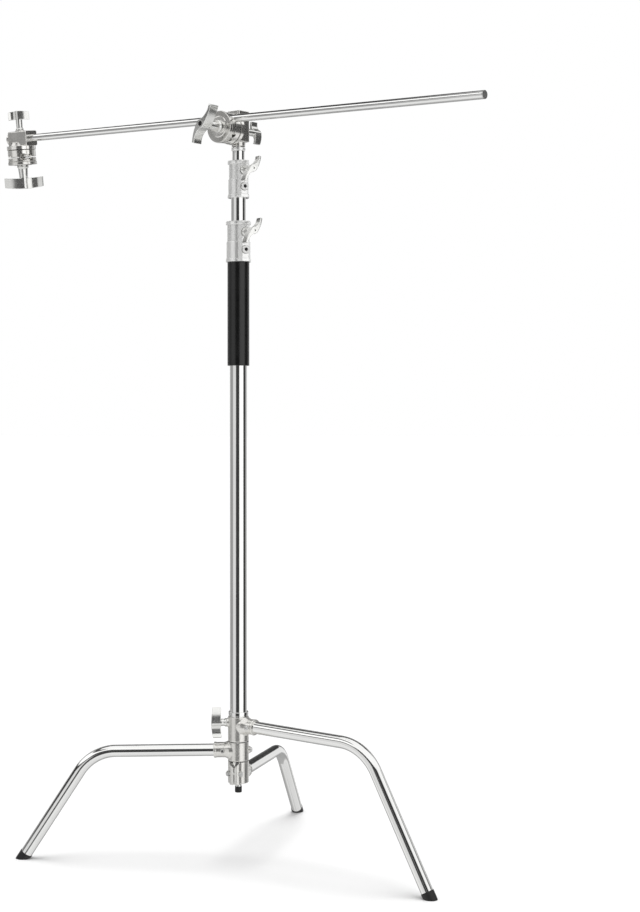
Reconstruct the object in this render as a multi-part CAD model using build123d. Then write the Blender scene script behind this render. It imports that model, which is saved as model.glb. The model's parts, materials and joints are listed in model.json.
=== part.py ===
from build123d import *
import math
import os

# A studio C stand: a three-leg base, a telescopic column in three sections, and a boom arm
# held in a grip head, with a second grip head on the arm's far end.
# Millimetres. Origin on the floor under the column's axis, +Z up, +X to the right, +Y away.

# ---- Fits --------------------------------------------------------------------------------
RUN = 0.05             # radial clearance of a part that turns or slides on another
SCREW_PLAY = 0.06      # radial clearance of a screw in its thread
PLAY = 0.2             # axial gap between parts that turn against each other

# ---- Column tubes ------------------------------------------------------------------------
COLUMN_R = 17.5
COLUMN_WALL = 1.5
RISER_1_R = 15.0
RISER_1_WALL = 1.2
RISER_2_R = 12.5
RISER_2_WALL = 1.2
COLUMN_HEIGHT = 1320.0         # floor to the top of the lower locking collar
SLEEVE_LENGTH = 213.0
SLEEVE_R = COLUMN_R + 5.0

# ---- Locking collars ---------------------------------------------------------------------
COLLAR_FACING = -60.0          # degrees, the way the collars' screws point
LOWER_COLLAR_HEIGHT = 83.0
UPPER_COLLAR_HEIGHT = 76.0
LOWER_COLLAR_WALL = 7.0        # outside the column tube
UPPER_COLLAR_WALL = 5.8        # outside the first riser
COLLAR_STEP = 1.5              # how much slimmer a collar's upper half is
COLLAR_GAP = 48.5              # lower collar's top to upper collar's foot, risers down
COLLAR_FLANGE = 6.5
FLANGE_LIP = 1.2
LOWER_BOSS_REACH = COLUMN_R + 14.5
UPPER_BOSS_REACH = RISER_1_R + 12.0
BOSS_WIDTH = 24.0
CAP_SCREW_R = 8.5
CAP_SCREW_HEAD = 4.0
CAP_SCREW_SHANK_R = 4.0
CAP_SCREW_KEY = 6.0            # across the flats of its hexagon socket
SHOE_LENGTH = 5.0

# ---- Inside the column -------------------------------------------------------------------
PLUG_LENGTH = 20.0
SPRING_LENGTH = 172.0
SPRING_WIRE_R = 1.25
SPRING_PITCH = 12.0
GLIDE_LENGTH = 20.0
GLIDE_SPIGOT = 10.0
GLIDE_PLAY = 0.08
SPRING_GAP = 1.0               # between the cushion spring and the first riser's glide
RISER_FOOT_GAP = 8.0           # between the two risers' lower ends

# ---- Column top --------------------------------------------------------------------------
RISER_2_SHOWN = 21.0           # second riser above the upper collar, risers down
TOP_CAP_R = RISER_2_R + 2.0
TOP_CAP_HEIGHT = 7.0
PIN_R = 8.0                    # the 16 mm spigot that grip heads and arms share
PIN_LENGTH = 62.0
PIN_ROOT = 30.0

# ---- Legs --------------------------------------------------------------------------------
LEG_R = 12.5
LEG_WALL = 1.5
LEG_REACH = 452.0
KNEE_REACH = 305.0
KNEE_RADIUS = 95.0
LEG_FALL = 1.7                 # degrees, slope of a leg before its knee
REAR_LEG_FACING = 75.1
MIDDLE_LEG_FACING = 175.0
TOP_LEG_FACING = -33.1
FOOT_WALL = 0.8
FOOT_SOLE = 3.0
FOOT_LENGTH = 15.0

# ---- Base castings -----------------------------------------------------------------------
HUB_FOOT = 167.5               # floor to the lowest casting
CASTING_R = COLUMN_R + 4.0
LEG_ROOT = CASTING_R + 1.0     # where a leg's tube starts, from the column's axis
SOCKET_R = LEG_R + 4.0
BOTTOM_CASTING_HEIGHT = 2 * SOCKET_R + 11.7
MIDDLE_CASTING_HEIGHT = 2 * SOCKET_R + 6.0
TOP_CASTING_HEIGHT = 2 * SOCKET_R + 18.0
WASHER_THICKNESS = 0.6
BOTTOM_SOCKET_HEIGHT = SOCKET_R + 1.2     # leg axis above its casting's lower face
MIDDLE_SOCKET_HEIGHT = SOCKET_R + 5.3
TOP_SOCKET_HEIGHT = SOCKET_R + 16.5
BOTTOM_SOCKET_REACH = LEG_ROOT + 23.5
MIDDLE_SOCKET_REACH = LEG_ROOT + 27.5
TOP_SOCKET_REACH = LEG_ROOT + 20.5
RING_R = COLUMN_R + 3.0
RING_HEIGHT = 9.6
LUG_REACH = CASTING_R + 9.5
LUG_WIDTH = 23.0
SLIT = 2.0
NOTCH = 10.0
PINCH_BOLT_R = 3.0
PINCH_BOLT_KEY = 10.0
PINCH_HEAD = 5.0
STUD_R = 6.5
STUD_SHOWN = 8.3
STUD_CAP_LENGTH = 12.3
LEG_SCREW_PLACE = LEG_ROOT + 8.5   # along the leg from the column's axis
LEG_SCREW_HEAD_R = 4.5
LEG_SCREW_HEAD = 2.4
LEG_SCREW_SHANK_R = 2.5
SET_SCREW_HEAD_R = 5.5
SET_SCREW_HEAD = 3.5
SET_SCREW_SHANK_R = 3.0
SET_BOSS_R = 7.0
SET_BOSS_REACH = CASTING_R + 3.5
BASE_WING_FACING = 187.0
BASE_WING_HEIGHT = TOP_SOCKET_HEIGHT + 5.6   # above the top casting's lower face
BASE_WING_BOSS_R = 9.0
BASE_WING_BOSS_REACH = CASTING_R + 3.0

# ---- Wing handles ------------------------------------------------------------------------
THREAD_R = 5.0
WING_HALF = 31.0
HEAD_WING_HALF = 24.0
WING_DEPTH = 21.0
WING_HUB_R = 7.5
WING_BASE_R = 8.8
WING_TIP = 4.2
WING_SWEEP = 6.5
CLAMP_HALF = 44.0
CLAMP_DEPTH = 26.0
CLAMP_HUB_R = 9.5
CLAMP_BASE_R = 13.0
CLAMP_TIP = 6.0
CLAMP_SWEEP = 9.0
BASE_WING_SHAFT = 10.0
COLLAR_WING_SHAFT = 20.0
HEAD_WING_SHAFT = 22.0
CLAMP_SHAFT = 25.0

# ---- Grip heads --------------------------------------------------------------------------
BLOCK_UP = 38.0                # block beyond the disc axis, along the receiver
BLOCK_DOWN = 24.0
NECK_LENGTH = 10.0
NECK_R = 14.0
BLOCK_HALF = 17.0              # half depth along the disc axis
BLOCK_SIDE = 16.5              # half width across both axes
BLOCK_ROUND = 4.0
LOCK_BOSS_R = 10.0
LOCK_BOSS = 3.0
PLATE_R = 32.5
JAW_R = 31.5
PLATE_THICKNESS = 8.0
INNER_JAW = 15.7
OUTER_JAW = 17.0
JAW_GAP = 2.0
JAW_SPRING_R = THREAD_R + 2.0
JAW_SPRING_WIRE_R = 0.8
JAW_SPRING_POCKET = 8.0
JAW_SPRING_POCKET_R = JAW_SPRING_R + 2.0
GRIP_OFFSET = JAW_SPRING_POCKET_R + PIN_R     # from the disc axis to each grip groove
HALF_INCH_R = 6.35
SMALL_GRIP = 6.0               # half diagonals of the two diamond grooves
SMALLER_GRIP = 4.5
BOLT_START = 10.0
BOLT_SHORT = 12.0              # how far the bolt stops inside the clamp handle
THRUST_WASHER = 2.0
THRUST_WASHER_R = 13.0

# ---- Boom arm ----------------------------------------------------------------------------
ARM_LENGTH = 1300.0
ARM_WALL = 1.6
ARM_PLUG = 12.0
ARM_PLUG_RIM = 2.0
HEAD_HEIGHT_OVER_CAP = 36.0    # disc axis above the top cap
HEAD_FACING = -130.0           # degrees, the way the main head's disc axis points
ARM_TILT = -2.2                # degrees, the arm's end away from the second head is lower
END_HEAD_PLACE = -640.0        # along the arm from the main head
ARM_INSET = 22.0               # arm beyond the second head's disc axis
END_HEAD_ROLL = 8.0            # degrees about the arm
END_JAW_TURN = -24.0           # degrees about the second head's disc axis

# ---- Heights worked out from the sizes above ---------------------------------------------
BOTTOM_CASTING_TOP = HUB_FOOT + BOTTOM_CASTING_HEIGHT
MIDDLE_CASTING_FOOT = BOTTOM_CASTING_TOP + WASHER_THICKNESS
MIDDLE_CASTING_TOP = MIDDLE_CASTING_FOOT + MIDDLE_CASTING_HEIGHT
TOP_CASTING_FOOT = MIDDLE_CASTING_TOP + WASHER_THICKNESS
TOP_CASTING_TOP = TOP_CASTING_FOOT + TOP_CASTING_HEIGHT
COLUMN_FOOT = HUB_FOOT + 2.0
LOWER_COLLAR_FOOT = COLUMN_HEIGHT - LOWER_COLLAR_HEIGHT
UPPER_COLLAR_FOOT = COLUMN_HEIGHT + COLLAR_GAP
UPPER_COLLAR_TOP = UPPER_COLLAR_FOOT + UPPER_COLLAR_HEIGHT
LOWER_STEP = LOWER_COLLAR_FOOT + LOWER_COLLAR_HEIGHT / 2
UPPER_STEP = UPPER_COLLAR_FOOT + UPPER_COLLAR_HEIGHT / 2
SPRING_FOOT = COLUMN_FOOT + PLUG_LENGTH
GLIDE_1_FOOT = SPRING_FOOT + SPRING_LENGTH + SPRING_GAP
GLIDE_2_FOOT = GLIDE_1_FOOT + GLIDE_LENGTH + GLIDE_SPIGOT + RISER_FOOT_GAP
RISER_2_TOP = UPPER_COLLAR_TOP + RISER_2_SHOWN
TOP_CAP_TOP = RISER_2_TOP + TOP_CAP_HEIGHT
HEAD_HEIGHT = TOP_CAP_TOP + HEAD_HEIGHT_OVER_CAP

# ---- Stations along a grip head's disc axis ----------------------------------------------
PLATE_FACE = BLOCK_HALF + PLATE_THICKNESS
INNER_JAW_START = PLATE_FACE + PLAY
INNER_JAW_END = INNER_JAW_START + INNER_JAW
GRIP_PLANE = INNER_JAW_END + JAW_GAP / 2
OUTER_JAW_START = INNER_JAW_END + JAW_GAP
OUTER_JAW_END = OUTER_JAW_START + OUTER_JAW
WASHER_START = OUTER_JAW_END + PLAY
CLAMP_SEAT = WASHER_START + THRUST_WASHER + PLAY
CLAMP_END = CLAMP_SEAT + CLAMP_SHAFT + CLAMP_DEPTH
LOCK_SEAT = BLOCK_HALF + LOCK_BOSS + PLAY

UP = Vector(0, 0, 1)


# ---- Basic shapes ------------------------------------------------------------------------
def level(degrees):
    """A horizontal unit direction, turned from +X."""
    angle = math.radians(degrees)
    return Vector(math.cos(angle), math.sin(angle), 0)


def rod(start, end, radius):
    """A round bar between two points."""
    start = Vector(start)
    span = Vector(end) - start
    plane = Plane(origin=start, z_dir=span)
    bar = Cylinder(radius, span.length, align=(Align.CENTER, Align.CENTER, Align.MIN))
    return plane.location * bar


def disc(radius, low, high):
    """A round bar on the Z axis between two heights."""
    return rod((0, 0, low), (0, 0, high), radius)


def ring(outer, inner, low, high):
    return disc(outer, low, high) - disc(inner, low - 1, high + 1)


def cone(low_radius, high_radius, low, high):
    body = Cone(low_radius, high_radius, high - low, align=(Align.CENTER, Align.CENTER, Align.MIN))
    return Pos(0, 0, low) * body


def slab(x_range, y_range, z_range):
    """A box from its ranges."""
    size = [high - low for low, high in (x_range, y_range, z_range)]
    middle = [(high + low) / 2 for low, high in (x_range, y_range, z_range)]
    return Pos(*middle) * Box(*size)


def hexagon_bar(start, end, across_flats):
    start = Vector(start)
    span = Vector(end) - start
    plane = Plane(origin=start, z_dir=span)
    outline = RegularPolygon(across_flats / 2, 6, major_radius=False)
    return plane.location * extrude(outline, span.length)


def facing(degrees, height=0):
    """A frame whose X points outward from the column at that angle, with Z up."""
    return Plane(origin=(0, 0, height), x_dir=level(degrees), z_dir=UP).location


def coil(radius, wire_radius, pitch, low, high):
    """A compression spring on the Z axis, its wire inside the two heights."""
    height = high - low - 2 * wire_radius
    path = Pos(0, 0, low + wire_radius) * Helix(pitch, height, radius)
    profile = Plane(origin=path @ 0, z_dir=path % 0) * Circle(wire_radius)
    return sweep(profile, path=path, is_frenet=True)


# ---- Wing handles ------------------------------------------------------------------------
def wing_outline(half, hub_radius, tip, sweep_back):
    """One closed S-shaped outline: two swept wings that meet at the hub."""
    halves = []
    for turn in (0, 180):
        low_edge = ThreePointArc(
            (0, -hub_radius), (0.52 * half, -0.42 * hub_radius), (half, sweep_back - tip / 2)
        )
        end_edge = Line((half, sweep_back - tip / 2), (half - tip / 2, sweep_back + tip / 2))
        high_edge = ThreePointArc(
            (half - tip / 2, sweep_back + tip / 2), (0.5 * half, 0.42 * hub_radius), (0, hub_radius)
        )
        halves += [Rot(0, 0, turn) * edge for edge in (low_edge, end_edge, high_edge)]
    return make_face(halves)


def wing_handle(half, depth, hub_radius, base_radius, tip, sweep_back, shaft):
    """A cast handle on +Z, seated at Z = 0: a tapered shaft that carries two wings."""
    wings = Pos(0, 0, shaft) * extrude(wing_outline(half, hub_radius, tip, sweep_back), depth)
    hub = disc(hub_radius, shaft, shaft + depth)
    return cone(base_radius, hub_radius, 0, shaft) + hub + wings


def lock_screw(half, shaft, shank):
    """A wing screw: the small handle with its threaded shank below the seat."""
    handle = wing_handle(
        half, WING_DEPTH, WING_HUB_R, WING_BASE_R, WING_TIP, WING_SWEEP, shaft
    )
    return handle + disc(THREAD_R, -shank, 1)


def clamp_handle():
    """The large handle of a grip head, bored for the head's centre bolt."""
    handle = wing_handle(
        CLAMP_HALF, CLAMP_DEPTH, CLAMP_HUB_R, CLAMP_BASE_R, CLAMP_TIP, CLAMP_SWEEP, CLAMP_SHAFT
    )
    return handle - disc(THREAD_R + SCREW_PLAY, -1, CLAMP_SHAFT + CLAMP_DEPTH + 1)


# ---- Screws ------------------------------------------------------------------------------
def cross_screw(seat, outward, head_radius, head, shank_radius, shank):
    """A low round-head screw with a cross recess, seated at a point and pointing outward."""
    body = disc(shank_radius, -shank, 1) + cone(head_radius, 0.72 * head_radius, 0, head)
    slot = slab((-0.6 * head_radius, 0.6 * head_radius), (-0.6, 0.6), (0.45 * head, head + 1))
    body = body - slot - Rot(0, 0, 90) * slot
    return Plane(origin=seat, z_dir=outward).location * body


# ---- Legs and base castings --------------------------------------------------------------
def leg_height(socket_height, reach):
    """Height of a leg's centre line at a distance from the column, before its knee."""
    return socket_height - reach * math.tan(math.radians(LEG_FALL))


def leg_line(angle, socket_height, reach):
    """A point on a leg's upper centre line."""
    return level(angle) * reach + UP * leg_height(socket_height, reach)


def knee_and_toe(angle, socket_height):
    """The corner of a leg's centre line, and the point where it meets the floor."""
    return leg_line(angle, socket_height, KNEE_REACH), level(angle) * LEG_REACH


def leg_bar(angle, socket_height, radius):
    """A solid bar along the leg's centre line, running on below the floor."""
    knee, toe = knee_and_toe(angle, socket_height)
    below = toe + (toe - knee).normalized() * 3 * LEG_R
    start = leg_line(angle, socket_height, LEG_ROOT)
    path = FilletPolyline(start, knee, below, radius=KNEE_RADIUS)
    profile = Plane(origin=path @ 0, z_dir=path % 0) * Circle(radius)
    return sweep(profile, path=path)


def below_height(height):
    """A large block that fills everything under a height."""
    half = 2 * LEG_REACH
    return slab((-half, half), (-half, half), (height - half, height))


def leg_tube(angle, socket_height):
    tube = leg_bar(angle, socket_height, LEG_R) - leg_bar(angle, socket_height, LEG_R - LEG_WALL)
    return tube - below_height(FOOT_SOLE)


def leg_foot(angle, socket_height):
    """A rubber cap on a leg's end, cut level with the floor."""
    knee, toe = knee_and_toe(angle, socket_height)
    along = (knee - toe).normalized()
    cap = rod(toe - along * 3 * LEG_R, toe + along * FOOT_LENGTH, LEG_R + FOOT_WALL)
    hole = rod(toe - along * 4 * LEG_R, toe + along * 2 * FOOT_LENGTH, LEG_R)
    return cap - below_height(0) - (hole - below_height(FOOT_SOLE))


def socket(angle, socket_height, reach):
    return rod(leg_line(angle, socket_height, 0), leg_line(angle, socket_height, reach), SOCKET_R)


def socket_bore(angle, socket_height, reach):
    start = leg_line(angle, socket_height, LEG_ROOT)
    return rod(start, leg_line(angle, socket_height, reach + 5), LEG_R)


def leg_screw_axis(angle, socket_height, side):
    """Seat point and outward direction of the screw that pins a leg in its socket."""
    outward = level(angle + side * 90)
    return leg_line(angle, socket_height, LEG_SCREW_PLACE) + outward * SOCKET_R, outward


def leg_screw(angle, socket_height, side):
    seat, outward = leg_screw_axis(angle, socket_height, side)
    return cross_screw(
        seat - outward * 0.4, outward, LEG_SCREW_HEAD_R, LEG_SCREW_HEAD,
        LEG_SCREW_SHANK_R, SOCKET_R - LEG_R - 0.4,
    )


def leg_casting(angle, foot, top, socket_above, reach, bore_radius, side):
    """One base casting: a ring on the column with a socket for its leg."""
    socket_height = foot + socket_above
    body = disc(CASTING_R, foot, top) + socket(angle, socket_height, reach)
    seat, outward = leg_screw_axis(angle, socket_height, side)
    body -= disc(bore_radius, foot - 50, top + 50)
    body -= socket_bore(angle, socket_height, reach)
    body -= rod(seat - outward * SOCKET_R, seat + outward, LEG_SCREW_SHANK_R)
    return body - rod(seat - outward * 0.4, seat + outward * 5, LEG_SCREW_HEAD_R)


def clamp_lugs():
    """The two ears of the split clamp, before the slit is cut, facing away from the rear leg."""
    low = HUB_FOOT
    high = BOTTOM_CASTING_TOP
    ears = slab((COLUMN_R, LUG_REACH), (-LUG_WIDTH / 2, LUG_WIDTH / 2), (low, high))
    ears = chamfer(ears.edges().filter_by(Axis.Y).group_by(Axis.X)[-1], 5)
    notch_plane = Plane(origin=(COLUMN_R - 5, 0, high), x_dir=(0, 1, 0), z_dir=(1, 0, 0))
    notch = Polygon((-NOTCH, 0), (0, -NOTCH), (NOTCH, 0), align=None)
    notch = notch_plane.location * extrude(notch, LUG_REACH)
    return facing(REAR_LEG_FACING + 180) * (ears - notch)


def pinch_place():
    """Distance from the column's axis to the pinch bolt."""
    return (COLUMN_R + LUG_REACH) / 2 + 1.5


def pinch_height():
    return HUB_FOOT + BOTTOM_CASTING_HEIGHT / 2


def bottom_casting():
    casting = leg_casting(
        REAR_LEG_FACING, HUB_FOOT, BOTTOM_CASTING_TOP, BOTTOM_SOCKET_HEIGHT,
        BOTTOM_SOCKET_REACH, COLUMN_R, -1,
    )
    casting += clamp_lugs()
    slit = slab((0, LUG_REACH + 5), (-SLIT / 2, SLIT / 2), (HUB_FOOT - 5, BOTTOM_CASTING_TOP + 5))
    bolt_hole = rod(
        (pinch_place(), -LUG_WIDTH, pinch_height()), (pinch_place(), LUG_WIDTH, pinch_height()),
        PINCH_BOLT_R,
    )
    casting -= facing(REAR_LEG_FACING + 180) * (slit + bolt_hole)
    return casting - disc(COLUMN_R, HUB_FOOT - 5, BOTTOM_CASTING_TOP + 5)


def pinch_bolt():
    """The clamp's hexagon bolt and its nut."""
    place = pinch_place()
    height = pinch_height()
    side = LUG_WIDTH / 2
    head = hexagon_bar((place, side, height), (place, side + PINCH_HEAD, height), PINCH_BOLT_KEY)
    shank = rod((place, side + 1, height), (place, -side - PINCH_HEAD - 1.5, height), PINCH_BOLT_R)
    nut = hexagon_bar((place, -side, height), (place, -side - PINCH_HEAD, height), PINCH_BOLT_KEY)
    nut -= rod((place, -side + 1, height), (place, -side - PINCH_HEAD - 1, height), PINCH_BOLT_R)
    turn = facing(REAR_LEG_FACING + 180)
    return Compound(children=[turn * (head + shank), turn * nut])


def middle_casting():
    casting = leg_casting(
        MIDDLE_LEG_FACING, MIDDLE_CASTING_FOOT, MIDDLE_CASTING_TOP, MIDDLE_SOCKET_HEIGHT,
        MIDDLE_SOCKET_REACH, COLUMN_R + RUN, 1,
    )
    outward = level(MIDDLE_LEG_FACING + 180)
    height = UP * (MIDDLE_CASTING_FOOT + MIDDLE_SOCKET_HEIGHT)
    casting += rod(height + outward * (CASTING_R - 2), height + outward * SET_BOSS_REACH, SET_BOSS_R)
    return casting - rod(height, height + outward * 2 * SET_BOSS_REACH, SET_SCREW_SHANK_R)


def middle_set_screw():
    """The friction screw opposite the middle leg."""
    outward = level(MIDDLE_LEG_FACING + 180)
    seat = UP * (MIDDLE_CASTING_FOOT + MIDDLE_SOCKET_HEIGHT) + outward * SET_BOSS_REACH
    shank = SET_BOSS_REACH - COLUMN_R - PLAY
    return cross_screw(seat, outward, SET_SCREW_HEAD_R, SET_SCREW_HEAD, SET_SCREW_SHANK_R, shank)


def top_casting():
    casting = leg_casting(
        TOP_LEG_FACING, TOP_CASTING_FOOT, TOP_CASTING_TOP, TOP_SOCKET_HEIGHT,
        TOP_SOCKET_REACH, COLUMN_R + RUN, -1,
    )
    outward = level(BASE_WING_FACING)
    height = UP * (TOP_CASTING_FOOT + BASE_WING_HEIGHT)
    boss_end = height + outward * BASE_WING_BOSS_REACH
    casting += rod(height + outward * (CASTING_R - 3), boss_end, BASE_WING_BOSS_R)
    return casting - rod(height, height + outward * 2 * CASTING_R, THREAD_R + SCREW_PLAY)


def base_wing():
    outward = level(BASE_WING_FACING)
    seat = UP * (TOP_CASTING_FOOT + BASE_WING_HEIGHT) + outward * (BASE_WING_BOSS_REACH + PLAY)
    place = Plane(origin=seat, x_dir=UP, z_dir=outward).location
    shank = BASE_WING_BOSS_REACH - COLUMN_R - PLAY
    return place * lock_screw(WING_HALF, BASE_WING_SHAFT, shank)


def leg_washers():
    rings = []
    for foot in (BOTTOM_CASTING_TOP, MIDDLE_CASTING_TOP):
        low = foot + WASHER_THICKNESS / 6
        high = foot + 5 * WASHER_THICKNESS / 6
        rings.append(ring(CASTING_R - 0.3, COLUMN_R + RUN, low, high))
    return Compound(children=rings)


# ---- Column ------------------------------------------------------------------------------
def base_plug():
    """The turned plug that closes the column's foot, with a stud below it."""
    plug = disc(COLUMN_R - COLUMN_WALL, COLUMN_FOOT, COLUMN_FOOT + PLUG_LENGTH)
    return plug + disc(STUD_R, HUB_FOOT - STUD_SHOWN - STUD_CAP_LENGTH + 2, COLUMN_FOOT + 1)


def stud_cap():
    low = HUB_FOOT - STUD_SHOWN - STUD_CAP_LENGTH
    cap = disc(STUD_R + 0.6, low, low + STUD_CAP_LENGTH)
    return cap - disc(STUD_R, low + 2, low + STUD_CAP_LENGTH + 1)


def flange_outline(radius, reach, width):
    """Round at the back, with a boss in front whose corners are cut off."""
    corner = width / 5
    boss = Polygon(
        (0, -width / 2), (reach - corner, -width / 2), (reach, -width / 2 + corner),
        (reach, width / 2 - corner), (reach - corner, width / 2), (0, width / 2), align=None,
    )
    return Circle(radius) + boss


def collar_wing_height(foot, height):
    return foot + 0.72 * height


def collar_screw_height(foot, height):
    return foot + 0.29 * height


def locking_collar(foot, height, tube_radius, riser_radius, wall, boss_reach):
    """A collar pressed on one tube's top that guides and locks the tube inside it."""
    top = foot + height
    step = foot + height / 2
    outer = tube_radius + wall
    lower = extrude(flange_outline(outer, boss_reach, BOSS_WIDTH), height / 2)
    upper = extrude(flange_outline(outer - COLLAR_STEP, boss_reach, BOSS_WIDTH), height / 2)
    rim = flange_outline(outer + FLANGE_LIP, boss_reach + FLANGE_LIP, BOSS_WIDTH + 2 * FLANGE_LIP)
    rim = extrude(rim, COLLAR_FLANGE)
    body = Pos(0, 0, foot) * lower + Pos(0, 0, step) * upper
    body += Pos(0, 0, foot) * rim + Pos(0, 0, top - COLLAR_FLANGE) * rim
    body -= disc(tube_radius, foot - 1, step)
    body -= disc(riser_radius + RUN, foot - 1, top + 1)
    wing_height = collar_wing_height(foot, height)
    screw_height = collar_screw_height(foot, height)
    far = 2 * boss_reach
    body -= rod((0, 0, wing_height), (far, 0, wing_height), THREAD_R + SCREW_PLAY)
    body -= rod((0, 0, screw_height), (far, 0, screw_height), CAP_SCREW_SHANK_R)
    return facing(COLLAR_FACING) * body


def collar_cap_screw(foot, height, tube_radius, boss_reach):
    """The socket screw that pins a collar to its tube."""
    z = collar_screw_height(foot, height)
    head = rod((boss_reach, 0, z), (boss_reach + CAP_SCREW_HEAD, 0, z), CAP_SCREW_R)
    head = chamfer(head.edges().sort_by(Axis.X)[-1], 0.8)
    shank = rod((tube_radius, 0, z), (boss_reach + 1, 0, z), CAP_SCREW_SHANK_R)
    key = hexagon_bar((boss_reach + 0.6, 0, z), (boss_reach + 9, 0, z), CAP_SCREW_KEY)
    return facing(COLLAR_FACING) * (head + shank - key)


def brake_shoe(foot, height, riser_radius):
    """The pad between a collar's wing screw and the riser."""
    z = collar_wing_height(foot, height)
    start = riser_radius + 2 * RUN
    pad = rod((0, 0, z), (start + SHOE_LENGTH, 0, z), THREAD_R)
    return facing(COLLAR_FACING) * (pad - disc(start, foot, foot + height))


def collar_wing(foot, height, riser_radius, boss_reach, turn):
    """A collar's wing screw, its tip just off the brake shoe."""
    seat = level(COLLAR_FACING) * (boss_reach + PLAY) + UP * collar_wing_height(foot, height)
    side = level(COLLAR_FACING + 90) * math.cos(math.radians(turn)) + UP * math.sin(math.radians(turn))
    place = Plane(origin=seat, x_dir=side, z_dir=level(COLLAR_FACING)).location
    shank = boss_reach - riser_radius - SHOE_LENGTH - 2 * RUN
    return place * lock_screw(WING_HALF, COLLAR_WING_SHAFT, shank)


def riser_tube(radius, wall, glide_foot, top):
    return ring(radius, radius - wall, glide_foot + GLIDE_LENGTH, top)


def riser_glide(riser_radius, riser_wall, outer_tube_bore, foot):
    """A plastic guide on a riser's lower end: a sliding head with a spigot in the tube."""
    head = disc(outer_tube_bore - GLIDE_PLAY, foot, foot + GLIDE_LENGTH)
    spigot = disc(riser_radius - riser_wall, foot, foot + GLIDE_LENGTH + GLIDE_SPIGOT)
    return head + spigot


def top_spigot():
    """The 16 mm pin on top, with its root inside the second riser."""
    root = disc(RISER_2_R - RISER_2_WALL, RISER_2_TOP - PIN_ROOT, RISER_2_TOP)
    return root + disc(PIN_R, RISER_2_TOP, RISER_2_TOP + TOP_CAP_HEIGHT + PIN_LENGTH)


# ---- Grip head, in its own frame: Z is the disc axis and X the receiver's axis ----------
def head_block():
    """The receiver block with the fixed toothed plate on its face."""
    block = slab((-BLOCK_DOWN, BLOCK_UP), (-BLOCK_SIDE, BLOCK_SIDE), (-BLOCK_HALF, BLOCK_HALF))
    block = fillet(block.edges().filter_by(Axis.X), BLOCK_ROUND)
    block += rod((-BLOCK_DOWN - NECK_LENGTH, 0, 0), (0, 0, 0), NECK_R)
    block += disc(PLATE_R, BLOCK_HALF, PLATE_FACE)
    block += disc(LOCK_BOSS_R, -BLOCK_HALF - LOCK_BOSS, -BLOCK_HALF + 1)
    block -= rod((-2 * BLOCK_UP, 0, 0), (2 * BLOCK_UP, 0, 0), PIN_R + RUN)
    block -= disc(THREAD_R + SCREW_PLAY, -2 * BLOCK_HALF, 0)
    return block - disc(THREAD_R, BOLT_START, PLATE_FACE + 1)


def centre_bolt():
    return disc(THREAD_R, BOLT_START, CLAMP_END - BOLT_SHORT)


def diamond_bar(half_diagonal, offset_turn):
    """A square bar on its edge, lying in the grip plane beside the disc axis."""
    outline = Polygon(
        (half_diagonal, 0), (0, half_diagonal), (-half_diagonal, 0), (0, -half_diagonal), align=None
    )
    plane = Plane(origin=(GRIP_OFFSET, -2 * PLATE_R, GRIP_PLANE), x_dir=(1, 0, 0), z_dir=(0, 1, 0))
    return Rot(0, 0, offset_turn) * (plane.location * extrude(outline, 4 * PLATE_R))


def grip_grooves():
    """The four grooves across the jaws: two round ones and two diamond ones."""
    low = (GRIP_OFFSET, -2 * PLATE_R, GRIP_PLANE)
    high = (GRIP_OFFSET, 2 * PLATE_R, GRIP_PLANE)
    arm_groove = rod(low, high, PIN_R + RUN)
    half_inch_groove = Rot(0, 0, 90) * rod(low, high, HALF_INCH_R)
    return arm_groove + half_inch_groove + diamond_bar(SMALL_GRIP, 180) + diamond_bar(SMALLER_GRIP, 270)


def inner_jaw():
    jaw = disc(JAW_R, INNER_JAW_START, INNER_JAW_END)
    jaw -= disc(THREAD_R + RUN, INNER_JAW_START - 1, INNER_JAW_END + 1)
    jaw -= disc(JAW_SPRING_POCKET_R, INNER_JAW_END - JAW_SPRING_POCKET, INNER_JAW_END + 1)
    return jaw - grip_grooves()


def outer_jaw():
    jaw = disc(JAW_R, OUTER_JAW_START, OUTER_JAW_END)
    jaw += disc(PLATE_R, OUTER_JAW_END - PLATE_THICKNESS, OUTER_JAW_END)
    jaw -= disc(THREAD_R + RUN, OUTER_JAW_START - 1, OUTER_JAW_END + 1)
    jaw -= disc(JAW_SPRING_POCKET_R, OUTER_JAW_START - 1, OUTER_JAW_START + JAW_SPRING_POCKET)
    return jaw - grip_grooves()


def jaw_spring():
    low = INNER_JAW_END - JAW_SPRING_POCKET
    high = OUTER_JAW_START + JAW_SPRING_POCKET
    return coil(JAW_SPRING_R, JAW_SPRING_WIRE_R, 3.6 * JAW_SPRING_WIRE_R, low, high)


def thrust_washer():
    return ring(THRUST_WASHER_R, THREAD_R + RUN, WASHER_START, WASHER_START + THRUST_WASHER)


def head_lock(bar_turn):
    """The small wing screw that grips the pin or arm in the receiver."""
    place = Plane(origin=(0, 0, -LOCK_SEAT), x_dir=(1, 0, 0), z_dir=(0, 0, -1)).location
    shank = LOCK_SEAT - PIN_R - 2 * RUN - PLAY
    screw = lock_screw(HEAD_WING_HALF, HEAD_WING_SHAFT, shank)
    return place * (Rot(0, 0, bar_turn) * screw)


def head_clamp(bar_turn):
    return Pos(0, 0, CLAMP_SEAT) * (Rot(0, 0, bar_turn) * clamp_handle())


def grip_head(name, head_place, jaw_place, lock_turn, clamp_turn):
    """All pieces of one grip head. The jaws may stand turned about the disc axis."""
    return {
        f"{name}_head_body": head_place * head_block(),
        f"{name}_centre_bolt": head_place * centre_bolt(),
        f"{name}_thrust_washer": head_place * thrust_washer(),
        f"{name}_inner_jaw": jaw_place * inner_jaw(),
        f"{name}_outer_jaw": jaw_place * outer_jaw(),
        f"{name}_jaw_spring": jaw_place * jaw_spring(),
        f"{name}_lock_wing": head_place * head_lock(lock_turn),
        f"{name}_clamp_handle": head_place * head_clamp(clamp_turn),
    }


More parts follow.
